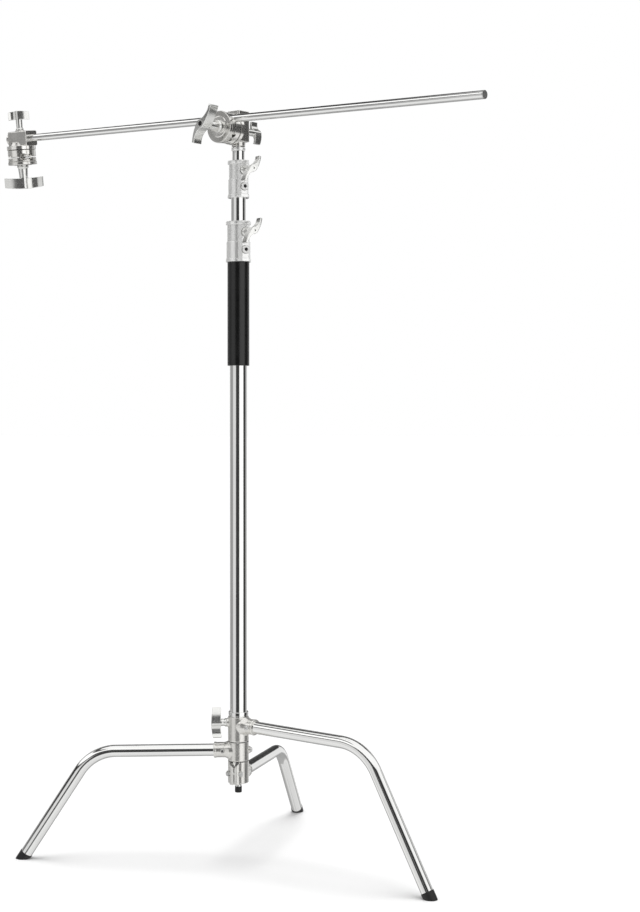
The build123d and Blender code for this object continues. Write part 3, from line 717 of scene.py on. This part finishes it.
# ---- Locking collars ---------------------------------------------------------------------
def collar_outline(radius, reach, width, count=40):
    """A round back that runs on into a boss with cut corners. The boss points along X."""
    corner = width / 5
    half = width / 2
    start = math.asin(half / radius)
    points = []
    for step in range(count + 1):
        angle = start + (math.tau - 2 * start) * step / count
        points.append(Vector((radius * math.cos(angle), radius * math.sin(angle))))
    boss = [(radius * math.cos(start), -half), (reach - corner, -half), (reach, -half + corner),
            (reach, half - corner), (reach - corner, half), (radius * math.cos(start), half)]
    boss = rounded(boss, [0, 1.2, 1.2, 1.2, 1.2, 0], loop=False)
    return points + boss[1:-1]


def collar_skin(foot, top, outer, reach):
    """The outside of a collar: a flange at each end and a slimmer upper half."""
    step = (foot + top) / 2
    lip = FLANGE_LIP
    levels = [
        (foot, lip - 0.8), (foot + 0.4, lip - 0.15), (foot + 1.0, lip),
        (foot + COLLAR_FLANGE - 1.0, lip), (foot + COLLAR_FLANGE - 0.3, lip - 0.3),
        (foot + COLLAR_FLANGE, lip - 1.0), (foot + COLLAR_FLANGE + 0.3, 0),
        (step - 1.2, 0), (step - 0.4, -0.3), (step, -0.9), (step + 0.3, -COLLAR_STEP),
        (top - COLLAR_FLANGE - 0.3, -COLLAR_STEP), (top - COLLAR_FLANGE, lip - 1.0),
        (top - COLLAR_FLANGE + 0.3, lip - 0.3), (top - COLLAR_FLANGE + 1.0, lip),
        (top - 1.0, lip), (top - 0.4, lip - 0.15), (top, lip - 0.8),
    ]
    rings = []
    for height, offset in levels:
        front = max(offset, 0)
        outline = collar_outline(outer + offset, reach + front, BOSS_WIDTH + 2 * front)
        rings.append([Vector((p.x, p.y, height)) for p in outline])
    return skin("collar", rings)


def collar(name, tube_radius, riser_radius, wall, reach, body):
    """A locking collar with its bores, the seats of its two screws, and its cap screw."""
    low, high = node_span(f"{name}_collar")
    foot, top = low.z, high.z
    piece = collar_skin(foot, top, tube_radius + wall, reach)
    cutters = [
        bar((0, 0, foot - 5), (0, 0, (foot + top) / 2), tube_radius, 96),
        bar((0, 0, foot - 5), (0, 0, top + 5), riser_radius + RUN, 96),
    ]
    cutters.append(lathe("chamfer", [
        (0.01, top - 1.2), (riser_radius + 0.1, top - 1.2),
        (riser_radius + 2.4, top + 1), (0.01, top + 1),
    ]))
    wing_height = joint_place(f"{name}_wing_turn").z
    cutters.append(bar((0, 0, wing_height), (2 * reach, 0, wing_height), THREAD_R + RUN))
    screw_low, screw_high = node_span(f"{name}_collar_screw")
    screw_height = (screw_low.z + screw_high.z) / 2
    for radius, depth, height in (
        (WING_BASE_R + 1.8, 2.6, wing_height),
        (CAP_SCREW_R + 0.8, 1.6, screw_height),
    ):
        seat = pin("seat", radius, 0, 10, edge=0)
        cutters.append(lying(seat, (reach - depth, 0, height), (2 * reach, 0, height)))
    cut(piece, *cutters)
    moved(piece, facing_way(COLLAR_FACING))
    finished(piece, f"{name}_locking_collar", [f"{name}_collar"], body, BRIGHT, 28)
    cap_screw(name, tube_radius, reach, body)


def cap_screw(name, tube_radius, reach, body):
    """A collar's hexagon-socket cap screw, in its ring-shaped seat."""
    low, high = node_span(f"{name}_collar_screw")
    height = (low.z + high.z) / 2
    face = reach - tube_radius
    corners = [
        (0.01, 0.5), (3.9, 0.5), (5.2, face - 1.5), (CAP_SCREW_R, face - 1.5),
        (CAP_SCREW_R, face + 2.4), (CAP_SCREW_R - 1.2, face + 4),
        (CAP_SCREW_R - 3.0, face + 4), (CAP_SCREW_R - 3.6, face + 3.3), (0.01, face + 3.3),
    ]
    screw = solid_lathe("screw", corners, [0, 0, 0, 0.3, 0.5, 0.5, 0.3, 0.2, 0], 64)
    hexagon = prism("key", circle(KEY_R, 6), face - 5, face + 9)
    cut(screw, hexagon)
    origin = level(COLLAR_FACING) * tube_radius + UP * height
    moved(screw, placing(origin, UP, level(COLLAR_FACING)))
    finished(screw, f"{name}_cap_screw", [f"{name}_collar_screw"], body, SCREW, 30)
    # A near-black prism inside the hexagon socket: painted shade in the key hole.
    bottom = prism("bottom", circle(KEY_R - 0.05, 6), face - 4.9, face + 1.6)
    moved(bottom, placing(origin, UP, level(COLLAR_FACING)))
    finished(bottom, f"{name}_cap_screw_key_hole_shade", [], body, HOLE_SHADE, 30)


# ---- Handles -----------------------------------------------------------------------------
def wing_outline(half, hub_radius, tip, sweep_back):
    """One closed S-shaped outline: two swept wings that meet at the hub."""
    low = arc_points(
        (0, -hub_radius), (0.52 * half, -0.42 * hub_radius), (half, sweep_back - tip / 2), 14
    )
    high = arc_points(
        (half - tip / 2, sweep_back + tip / 2), (0.5 * half, 0.42 * hub_radius), (0, hub_radius), 14
    )
    wing = low + high[:-1]
    return wing + [-point for point in wing]


def handle(name, half, depth, hub_radius, base_radius, tip, sweep_back, shaft):
    """A cast handle on Z: two swept wings on a tapered shaft that flares at its seat."""
    wings = prism("wings", wing_outline(half, hub_radius, tip, sweep_back), shaft, shaft + depth)
    bow = 0.16 * depth
    end = shaft + depth
    face = arc_points((half + 1, end - bow), (0, end), (-half - 1, end - bow), 24)
    seat = arc_points((-half - 1, shaft), (0, shaft + 0.5 * bow), (half + 1, shaft), 24)
    keep = prism("keep", rounded(seat + face, 0), -2 * half, 2 * half)
    moved(keep, Z_TO_BACK)
    cut(wings, keep, operation="INTERSECT")
    corners = [
        (0.01, 0), (base_radius, 0), (base_radius, 2.2), (base_radius - 1.8, 4.2),
        (hub_radius, shaft), (hub_radius, end), (0.01, end),
    ]
    hub = solid_lathe("hub", corners, [0, 0.6, 0.8, 3, 4, 1.2, 0], 64)
    return cast(name, [wings, hub], voxel=0.55, soften=5)


def small_wing(half, shaft, shank):
    """A wing screw: a small handle with its threaded shank below the seat."""
    wing = handle(
        "wing", half, WING_DEPTH, WING_HUB_R, WING_BASE_R, WING_TIP, WING_SWEEP, shaft
    )
    end = shaft + WING_DEPTH
    cut(wing, pin("dimple", 2.6, end - 2.5, end + 5, edge=0, count=32))
    screw = threaded("shank", THREAD_R, -shank, 0.6, 1.5)
    return joined("wing_screw", wing, screw)


def threaded(name, radius, low, high, pitch):
    """A threaded bar, shown as a row of ridges."""
    turns = max(2, int((high - low) / pitch))
    profile = [(0.01, low), (radius - 1.2, low)]
    for index in range(turns):
        foot = low + (high - low) * index / turns
        profile += [(radius - 0.7, foot + 0.15), (radius, foot + 0.5 * (high - low) / turns)]
    profile += [(radius - 0.7, high), (0.01, high)]
    return lathe(name, profile, count=40)


def wing_screws():
    """The wing screws of the base and of the two collars."""
    slanted = level(COLLAR_FACING + 90) + UP
    lower_tip = RISER_1_R + BRAKE_SHOE + 2 * RUN
    upper_tip = RISER_2_R + BRAKE_SHOE + 2 * RUN
    for node, shaft, reach, tip, bar_axis in (
        ("base_wing", BASE_WING_SHAFT, BASE_WING_BOSS_REACH, COLUMN_R + PLAY, UP),
        ("lower_wing", COLLAR_WING_SHAFT, LOWER_BOSS_REACH, lower_tip, slanted),
        ("upper_wing", COLLAR_WING_SHAFT, UPPER_BOSS_REACH, upper_tip, slanted),
    ):
        outward = joint_axis(f"{node}_turn")
        seat = joint_place(f"{node}_turn") + outward * (reach + PLAY)
        piece = small_wing(WING_HALF, shaft, reach - tip)
        moved(piece, placing(seat, bar_axis, outward))
        finished(piece, f"{node}_screw", [node], node, HANDLE, 40)


# ---- Grip heads --------------------------------------------------------------------------
def head_block():
    """The receiver block with its neck, web and lock boss, melted into one casting."""
    side = rounded(
        [(-BLOCK_SIDE, -BLOCK_HALF), (BLOCK_SIDE, -BLOCK_HALF), (BLOCK_SIDE, BLOCK_HALF),
         (-BLOCK_SIDE, BLOCK_HALF)], 3.5,
    )
    body = prism("block", side, -BLOCK_DOWN, BLOCK_UP)
    moved(body, Z_TO_X)
    neck = lathe("neck", [
        (0.01, 0), (NECK_R, 0), (NECK_R, NECK_LENGTH - 2),
        (NECK_R + 2.5, NECK_LENGTH + 3), (0.01, NECK_LENGTH + 3),
    ])
    lying(neck, (-BLOCK_DOWN - NECK_LENGTH, 0, 0), (0, 0, 0))
    web = lathe("web", [(0.01, 8), (20, 8), (26, BLOCK_HALF + 1), (0.01, BLOCK_HALF + 1)])
    boss = pin("boss", LOCK_BOSS_R, -BLOCK_HALF - LOCK_BOSS, 0, edge=0)
    return cast("block", [body, neck, web, boss], voxel=0.7, soften=7)


def toothed_disc(name, radius, low, high, low_teeth, high_teeth, rim=0.6):
    """A disc on Z whose faces may carry radial teeth that show at its rim."""
    count = TEETH * 4
    inner = radius * 0.45
    stations = [
        (inner, low, 0.0, 0), (radius - rim, low, 1.0, 0), (radius, low + rim, 0.55, 0),
        (radius, high - rim, 0.55, 1), (radius - rim, high, 1.0, 1), (inner, high, 0.0, 1),
    ]
    rings = []
    for station_radius, height, share, at_top in stations:
        one = []
        for step in range(count):
            angle = math.tau * step / count
            tooth = abs(((step / 4) % 1.0) * 2 - 1) * TOOTH_DEPTH * share
            tooth = tooth if (high_teeth if at_top else low_teeth) else 0
            z = height - tooth if at_top else height + tooth
            one.append(Vector((station_radius * math.cos(angle), station_radius * math.sin(angle), z)))
        rings.append(one)
    return skin(name, rings)


def groove_tools():
    """The four grooves across the jaws: two round ones and two diamond ones."""
    far = 2 * PLATE_R
    start = (GRIP_OFFSET, -far, GRIP_PLANE)
    end = (GRIP_OFFSET, far, GRIP_PLANE)
    tools = [bar(start, end, PIN_R + RUN), moved(bar(start, end, HALF_INCH_R), turned(90))]
    for size, turn in ((SMALL_GRIP, 180), (SMALLER_GRIP, 270)):
        tool = prism("diamond", circle(size, 4), -far, far)
        lying(tool, (GRIP_OFFSET, 0, GRIP_PLANE), (GRIP_OFFSET, 1, GRIP_PLANE))
        tools.append(moved(tool, turned(turn)))
    return tools


def receiver_block(name, place, body):
    """The block with its toothed plate, bored for the pin, the lock and the centre bolt."""
    block_piece = head_block()
    plate = toothed_disc("plate", PLATE_R, BLOCK_HALF - 1, PLATE_FACE, False, True)
    piece = joined("block", block_piece, plate)
    cut(
        piece,
        bar((-3 * BLOCK_UP, 0, 0), (3 * BLOCK_UP, 0, 0), PIN_R + RUN, 96),
        bar((0, 0, -2 * BLOCK_HALF), (0, 0, 0), THREAD_R + RUN),
        bar((0, 0, BOLT_START), (0, 0, 2 * PLATE_FACE), THREAD_R),
    )
    moved(piece, place)
    node = f"{name}_head_body"
    finished(piece, f"{name}_receiver_block", [node], body, HEAD, 40)


def grooved(piece, pocket):
    """Cuts the bolt's hole, the spring's pocket and the grip grooves into a jaw."""
    cut(piece, bar((0, 0, 0), (0, 0, FAR), THREAD_R + RUN), pocket)
    return cut(piece, *groove_tools())


def inner_disc(name, place, body):
    piece = toothed_disc("inner", JAW_R, INNER_JAW_START, INNER_JAW_END, True, False)
    grooved(piece, pin("pocket", JAW_SPRING_POCKET_R, INNER_JAW_END - JAW_SPRING_POCKET, FAR, 0))
    moved(piece, place)
    finished(piece, f"{name}_inner_disc", [f"{name}_inner_jaw"], body, HEAD, 30)


def outer_disc(name, place, body):
    rim = OUTER_JAW_END - PLATE_THICKNESS
    corners = [
        (0.01, OUTER_JAW_START), (JAW_R, OUTER_JAW_START), (JAW_R, rim - 1),
        (JAW_R - 1.2, rim), (PLATE_R, rim + 0.5), (PLATE_R, OUTER_JAW_END - 1),
        (22, OUTER_JAW_END - 1), (20, OUTER_JAW_END), (0.01, OUTER_JAW_END),
    ]
    piece = solid_lathe("outer", corners, [0, 0.6, 0.3, 0.2, 0.8, 1.2, 0.6, 0.8, 0], 128)
    grooved(piece, pin("pocket", JAW_SPRING_POCKET_R, 0, OUTER_JAW_START + JAW_SPRING_POCKET, 0))
    moved(piece, place)
    finished(piece, f"{name}_outer_disc", [f"{name}_outer_jaw"], body, HEAD, 30)


def lock_screw(name, place, body, bar_turn):
    """The small wing screw at the back of the block."""
    piece = small_wing(HEAD_WING_HALF, HEAD_WING_SHAFT, LOCK_SEAT - PIN_R - 2 * RUN - PLAY)
    moved(piece, turned(bar_turn))
    moved(piece, placing(Vector((0, 0, -LOCK_SEAT)), Vector((1, 0, 0)), Vector((0, 0, -1))))
    moved(piece, place)
    finished(piece, f"{name}_lock_screw", [f"{name}_lock_wing"], body, HANDLE, 40)


def clamp_handle(name, place, body, bar_turn):
    """The large handle on the centre bolt, with a dark disc in its hole as a piece of its own: painted
    shade at the hole's bottom.
    """
    piece = handle(
        "clamp", CLAMP_HALF, CLAMP_DEPTH, CLAMP_HUB_R, CLAMP_BASE_R,
        CLAMP_TIP, CLAMP_SWEEP, CLAMP_SHAFT,
    )
    cut(piece, bar((0, 0, -5), (0, 0, FAR), THREAD_R + RUN))
    moved(piece, turned(bar_turn))
    moved(piece, Matrix.Translation((0, 0, CLAMP_SEAT)))
    moved(piece, place)
    finished(piece, f"{name}_clamp", [f"{name}_clamp_handle"], body, HANDLE, 40)
    end = CLAMP_SEAT + CLAMP_SHAFT + CLAMP_DEPTH
    # A near-black disc inside the bolt hole: painted shade at its bottom.
    bottom = pin("bottom", THREAD_R - 0.05, end - 11.5, end - 1.6, edge=0.2)
    moved(bottom, place)
    finished(bottom, f"{name}_clamp_hole_shade", [], body, HOLE_SHADE, 30)


def head_pieces(name, head_place, jaw_place, lock_turn, clamp_turn):
    """Every visible piece of one grip head."""
    receiver_block(name, head_place, f"{name}_head")
    inner_disc(name, jaw_place, f"{name}_jaws")
    outer_disc(name, jaw_place, f"{name}_jaws")
    lock_screw(name, head_place, f"{name}_lock_wing", lock_turn)
    clamp_handle(name, head_place, f"{name}_clamp_handle", clamp_turn)


def grip_heads():
    across = joint_axis("main_clamp_turn")
    along = joint_axis("arm_slide")
    lift = across.cross(along)
    centre = joint_place("main_head_pan")
    head_pieces("main", placing(centre, UP, across), placing(centre, lift, across), -25, -45)
    place = placing(joint_place("end_head_roll"), along, joint_axis("end_clamp_turn"))
    jaw_place = place @ Matrix.Rotation(END_JAW_TURN, 4, "Z")
    head_pieces("end", place, jaw_place, 25, 130)


def arm():
    """The boom arm as one polished tube, laid along the arm's slide."""
    along = joint_axis("arm_slide")
    low, high = node_span("arm_tube")
    middle = (low + high) / 2
    half = ARM_LENGTH / 2
    piece = tube("arm", PIN_R, PIN_R - ARM_WALL, -half, half, edge=0.4, count=96)
    moved(piece, placing(middle, UP, along))
    finished(piece, "boom_arm", ["arm_tube"], "arm", TUBE)


# ---- Legs and castings -------------------------------------------------------------------
def leg_height(socket_height, reach):
    return socket_height - reach * math.tan(LEG_FALL)


def leg_point(facing, socket_height, reach):
    """A point on a leg's axis, before its knee."""
    return level(facing) * reach + UP * leg_height(socket_height, reach)


def leg_path(socket_height):
    """Centre line of a leg in its own upright plane, with its bend as an arc."""
    corners = [
        (LEG_ROOT, leg_height(socket_height, LEG_ROOT)),
        (KNEE_REACH, leg_height(socket_height, KNEE_REACH)), (LEG_REACH, 0),
    ]
    return rounded(corners, [0, KNEE_RADIUS, 0], steps=18, loop=False)


def tube_along(name, path, radius, end_height, count=72):
    """A round bar along a path in the XZ plane, its last ring cut level at a height."""
    rings = []
    for index, point in enumerate(path):
        back = path[max(index - 1, 0)]
        ahead = path[min(index + 1, len(path) - 1)]
        direction = (ahead - back).normalized()
        normal = Vector((-direction.y, direction.x))
        one = []
        for spot in circle(radius, count):
            place = point + normal * spot.x
            if index == len(path) - 1:
                place += direction * ((end_height - place.y) / direction.y)
            one.append(Vector((place.x, spot.y, place.y)))
        rings.append(one)
    return skin(name, rings)


def leg(name, facing, socket_height, body):
    path = leg_path(socket_height)
    turn = facing_way(facing)
    piece = tube_along("leg", path, LEG_R, FOOT_SOLE)
    moved(piece, turn)
    finished(piece, f"{name}_leg_tube", [f"{name}_leg"], body, TUBE, 50)
    rubber_foot(name, path, turn, body)


def rubber_foot(name, path, turn, body):
    """A rubber cap on a leg's end: a rolled rim, straight walls and a flat sole."""
    toe, knee_side = path[-1], path[-2]
    along = (knee_side - toe).normalized()
    radius = LEG_R + FOOT_WALL
    rim = toe + along * FOOT_LENGTH
    rows = [
        (rim, LEG_R + 0.05, None), (rim - along * 0.3, radius - 0.25, None),
        (rim - along * 0.9, radius, None), (rim - along * 1.6, radius, None),
        (toe, radius, 1.4), (toe, radius - 0.25, 0.5), (toe, radius - 0.9, 0.0),
    ]
    rings = []
    normal = Vector((-along.y, along.x))
    for centre, ring_radius, end_height in rows:
        one = []
        for spot in circle(ring_radius, 64):
            place = centre - normal * spot.x
            if end_height is not None:
                place += along * ((end_height - place.y) / along.y)
            one.append(Vector((place.x, spot.y, place.y)))
        rings.append(one)
    piece = skin("foot", rings)
    moved(piece, turn)
    finished(piece, f"{name}_rubber_foot", [f"{name}_foot"], body, FOOT_RUBBER, 40)


def socket_shell(facing, socket_height, reach):
    """A leg socket that flares where it leaves its casting."""
    direction = level(facing) * math.cos(LEG_FALL) - UP * math.sin(LEG_FALL)
    corners = [
        (0.01, 0), (SOCKET_R + 3.5, 0), (SOCKET_R + 3.0, CASTING_R - 4), (SOCKET_R - 0.9, CASTING_R + 6),
        (SOCKET_R - 0.9, reach - 4.6), (SOCKET_R, reach - 3.6), (SOCKET_R, reach), (0.01, reach),
    ]
    shell = solid_lathe("socket", corners, [0, 0, 0, 8, 0.5, 0.8, 0.8, 0], 80)
    return moved(shell, placing(UP * socket_height, UP, direction))


def leg_casting(name, node, facing, socket_height, reach, body, side, extras=(), tools=()):
    """One casting of the base: a ring on the column, a leg's socket, and the socket's screw."""
    low, high = node_span(node)
    ring = [(0.01, low.z), (CASTING_R, low.z), (CASTING_R, high.z), (0.01, high.z)]
    ring = solid_lathe("ring", ring, [0, 1.2, 1.2, 0])
    shells = [ring, socket_shell(facing, socket_height, reach), *extras]
    casting = cast(name, shells, voxel=0.75, soften=8)
    start = leg_point(facing, socket_height, LEG_ROOT)
    end = leg_point(facing, socket_height, reach + 6)
    for span in ((low.z - 60, low.z + 0.25), (high.z - 0.25, high.z + 60)):
        cut(casting, block("slab", (-FAR, FAR), (-FAR, FAR), span))
    column = bar((0, 0, low.z - 9), (0, 0, high.z + 9), COLUMN_R + RUN, 96)
    cut(casting, column, bar(start, end, LEG_R, 72))
    outward = level(facing + side * 90)
    seat = leg_point(facing, socket_height, LEG_SCREW_PLACE)
    recess = bar(seat + outward * (SOCKET_R - 0.7), seat + outward * 30, LEG_SCREW_HEAD_R + 0.5)
    cut(casting, recess, *tools)
    finished(casting, name, [node], body, NICKEL, 38)
    screw = cross_head(LEG_SCREW_HEAD_R, LEG_SCREW_HEAD)
    moved(screw, placing(seat + outward * (SOCKET_R - 0.5), UP + level(facing), outward))
    if body == "base_and_column":
        finished(screw, "rear_socket_screw", ["rear_leg_screw"], body, SCREW)
    else:
        finished(screw, f"{body}_socket_screw", [f"{body}_screw"], body, SCREW)


def cross_head(radius, height):
    """A low round-head screw with a cross recess."""
    corners = [
        (0.01, -3.0), (radius * 0.55, -3.0), (radius * 0.55, 0), (radius, 0), (radius, 0.3 * height),
        (0.72 * radius, height), (0.01, height),
    ]
    screw = solid_lathe("screw", corners, [0, 0, 0, 0.2, 0.8, 1.2, 0], 48)
    for turn in (0, 90):
        slot = block("slot", (-0.62 * radius, 0.62 * radius), (-0.55, 0.55), (0.4 * height, height + 3))
        cut(screw, moved(slot, turned(turn)))
    return screw


def hub():
    """The three legs, and the castings of the base with their screws."""
    foot, top = node_span("bottom_casting")
    rear_height = foot.z + BOTTOM_SOCKET_HEIGHT
    middle_height = node_span("middle_casting")[0].z + MIDDLE_SOCKET_HEIGHT
    top_height = node_span("top_casting")[0].z + TOP_SOCKET_HEIGHT
    leg("rear", REAR_LEG_FACING, rear_height, "base_and_column")
    leg("middle", MIDDLE_LEG_FACING, middle_height, "middle_leg")
    leg("top", TOP_LEG_FACING, top_height, "top_leg")
    bottom_hub(rear_height, foot.z, top.z)
    outward = level(MIDDLE_LEG_FACING + 180)
    seat = UP * middle_height + outward * SET_BOSS_REACH
    boss = bar(UP * middle_height + outward * 12, seat, SET_BOSS_R)
    leg_casting(
        "middle_hub", "middle_casting", MIDDLE_LEG_FACING, middle_height,
        MIDDLE_SOCKET_REACH, "middle_leg", 1, [boss],
    )
    screw = cross_head(SET_SCREW_HEAD_R, SET_SCREW_HEAD)
    moved(screw, placing(seat, UP, outward))
    finished(screw, "middle_friction_screw", ["middle_set_screw"], "middle_leg", SCREW)
    outward = joint_axis("base_wing_turn")
    centre = joint_place("base_wing_turn")
    boss = bar(centre + outward * 12, centre + outward * BASE_WING_BOSS_REACH, BASE_WING_BOSS_R)
    thread = bar(centre + outward * 5, centre + outward * 60, THREAD_R + RUN)
    leg_casting(
        "top_hub", "top_casting", TOP_LEG_FACING, top_height,
        TOP_SOCKET_REACH, "top_leg", -1, [boss], [thread],
    )


def bottom_hub(socket_height, low, high):
    """The lowest casting: its split clamp faces away from the rear leg."""
    away = facing_way(REAR_LEG_FACING + 180)
    ears = [(10, -EAR_HALF), (31, -EAR_HALF), (31, EAR_HALF), (10, EAR_HALF)]
    ears = moved(prism("ears", rounded(ears, [0, 7.5, 7.5, 0]), low, high), away)
    slit = moved(block("slit", (8, 60), (-SLIT / 2, SLIT / 2), (low - 9, high + 9)), away)
    notch = [Vector(corner) for corner in ((-12, 0), (0, -11), (12, 0), (12, 6), (-12, 6))]
    notch = prism("notch", notch, 0, 60)
    moved(notch, Z_TO_X)
    moved(moved(notch, Matrix.Translation((14, 0, high))), away)
    flat = moved(block("flat", (30.4, 60), (-60, 60), (low - 9, high + 9)), away)
    height = (low + high) / 2
    ends = (PINCH_BOLT_PLACE, -40, height), (PINCH_BOLT_PLACE, 40, height)
    hole = moved(bar(*ends, PINCH_BOLT_R), away)
    leg_casting(
        "bottom_hub", "bottom_casting", REAR_LEG_FACING, socket_height,
        BOTTOM_SOCKET_REACH, "base_and_column", -1, [ears], [notch, slit, flat, hole],
    )


KEPT_NODES = {
    SCREW: (
        "top_spigot", "base_plug", "arm_end_plugs", "pinch_bolt", "cushion_spring",
        "main_centre_bolt", "end_centre_bolt", "main_thrust_washer", "end_thrust_washer",
        "main_jaw_spring", "end_jaw_spring",
    ),
    PLASTIC: ("leg_washers", "riser_one_glide", "riser_two_glide"),
    BRASS: ("lower_brake_shoe", "upper_brake_shoe"),
}
for material, nodes in KEPT_NODES.items():
    for node in nodes:
        mesh = frame["nodes"][node].data
        mesh.materials.clear()
        mesh.materials.append(material)

column_tubes()
column_rings()
sleeve()
stud_and_cap()
collar("lower", COLUMN_R, RISER_1_R, LOWER_COLLAR_WALL, LOWER_BOSS_REACH, "base_and_column")
collar("upper", RISER_1_R, RISER_2_R, UPPER_COLLAR_WALL, UPPER_BOSS_REACH, "riser_one")
wing_screws()
grip_heads()
arm()
hub()


# ---- Studio ------------------------------------------------------------------------------
def floor():
    side = 40.0
    mesh = bpy.data.meshes.new("floor")
    corners = [(-side, -side, 0), (side, -side, 0), (side, side, 0), (-side, side, 0)]
    mesh.from_pydata(corners, [], [(0, 1, 2, 3)])
    ground = bpy.data.objects.new("floor", mesh)
    bpy.context.scene.collection.objects.link(ground)
    material, make, shader = new_surface("pale_floor")
    set_shader(make, shader, Base_Color=(0.86, 0.86, 0.86, 1), Roughness=0.9)
    mesh.materials.append(material)
    ground.visible_glossy = False


def overhead_light():
    """A very broad light straight above, which leaves soft shadows under the legs."""
    light = bpy.data.lights.new("overhead", "SUN")
    light.energy = 1.95
    light.angle = math.radians(38)
    holder = bpy.data.objects.new("overhead", light)
    bpy.context.scene.collection.objects.link(holder)
    holder.location = (0, 0, 3)
    holder.visible_glossy = False


def mirrored_room(make):
    """What polished metal mirrors: soft boxes and dark flags that stand round the horizon."""
    x = make.node("ShaderNodeSeparateXYZ", {}, make.coordinates("Generated"))
    y, z = x.sibling("Y"), x.sibling("Z")
    azimuth = x.math("ARCTAN2", x, y * -1.0) / math.tau + 0.5
    height = z.math("ARCSINE", z) / math.pi + 0.5

    def round_about(levels):
        """Brightness at angles round the horizon, in degrees from the front."""
        return make.ramp(azimuth, *[((angle + 180) / 360, value) for angle, value in levels])

    def up_and_down(levels):
        """Brightness at elevations, in degrees from the horizon."""
        return make.ramp(height, *[((angle + 90) / 180, value) for angle, value in levels])

    belt = round_about([
        (-180, 0.12), (-168, 0.12), (-162, 0.8), (-144, 0.8), (-138, 0.36), (-79, 0.36), (-71, 0.80),
        (-33, 0.80), (-28, 0.05), (13, 0.05), (18, 1.25), (70, 1.25), (76, 0.04), (106, 0.04),
        (111, 0.36), (138, 0.36), (144, 0.9), (160, 0.9), (166, 0.12), (180, 0.12),
    ])
    front = up_and_down([
        (-90, 0.80), (-17, 0.95), (12, 0.95), (13, 0.04), (29, 0.04), (32, 1.15), (90, 1.1),
    ])
    right = up_and_down([(-90, 0.80), (-17, 0.90), (9, 1.0), (60, 1.15), (90, 1.1)])
    side = up_and_down([
        (-90, 0.80), (-24, 0.80), (-20, 0.05), (22, 0.05), (26, 1.15), (90, 1.1),
    ])
    left = up_and_down([
        (-90, 0.80), (-17, 0.95), (11, 0.90), (12, 0.03), (20, 0.03), (23, 1.3), (43, 1.3), (46, 0.06),
        (54, 0.06), (57, 1.1), (90, 1.1),
    ])
    back = up_and_down([
        (-90, 0.50), (-30, 0.42), (10, 0.40), (13, 0.05), (21, 0.05), (24, 0.7), (31, 0.7), (34, 0.05),
        (56, 0.05), (60, 1.1), (90, 1.1),
    ])
    above = make.mixed(round_about([(24, 0.0), (32, 1.0)]), front, right)
    above = make.mixed(round_about([(70, 0.0), (76, 1.0), (106, 1.0), (112, 0.0)]), above, side)
    above = make.mixed(round_about([(-52, 1.0), (-42, 0.0)]), above, left)
    above = make.mixed(round_about([(-130, 1.0), (-118, 0.0), (118, 0.0), (130, 1.0)]), above, back)
    at_eye_level = up_and_down([(-22, 0.0), (-16, 1.0), (11.5, 1.0), (13, 0.0)])
    return make.mixed(at_eye_level, above, belt)


def studio_world():
    """A white studio: plain for the camera and for soft light, the mirrored room for gloss."""
    world = bpy.data.worlds.new("studio")
    bpy.context.scene.world = world
    world.use_nodes = True
    make = Maker(world.node_tree)
    mirrored = mirrored_room(make)
    path = make.node("ShaderNodeLightPath")
    plain = make.mixed(path.sibling("Is Glossy Ray"), (0.64, 0.64, 0.64, 1), mirrored)
    colour = make.mixed(path.sibling("Is Camera Ray"), plain, (1.0, 1.0, 1.0, 1))
    background = make.node("ShaderNodeBackground", {}, colour)
    output = make.tree.nodes.new("ShaderNodeOutputWorld")
    make.feed(output.inputs[0], background)


def camera():
    """Level camera a little above half the stand's height."""
    data = bpy.data.cameras.new("camera")
    data.sensor_width = 36.0
    data.lens = 65.8
    data.shift_y = -0.0614
    holder = bpy.data.objects.new("camera", data)
    bpy.context.scene.collection.objects.link(holder)
    holder.location = (0.1679, -3.43, 0.9535)
    holder.rotation_euler = (math.radians(90), 0, 0)
    bpy.context.scene.camera = holder


floor()
overhead_light()
studio_world()
camera()
bpy.context.scene.view_settings.view_transform = "Standard"
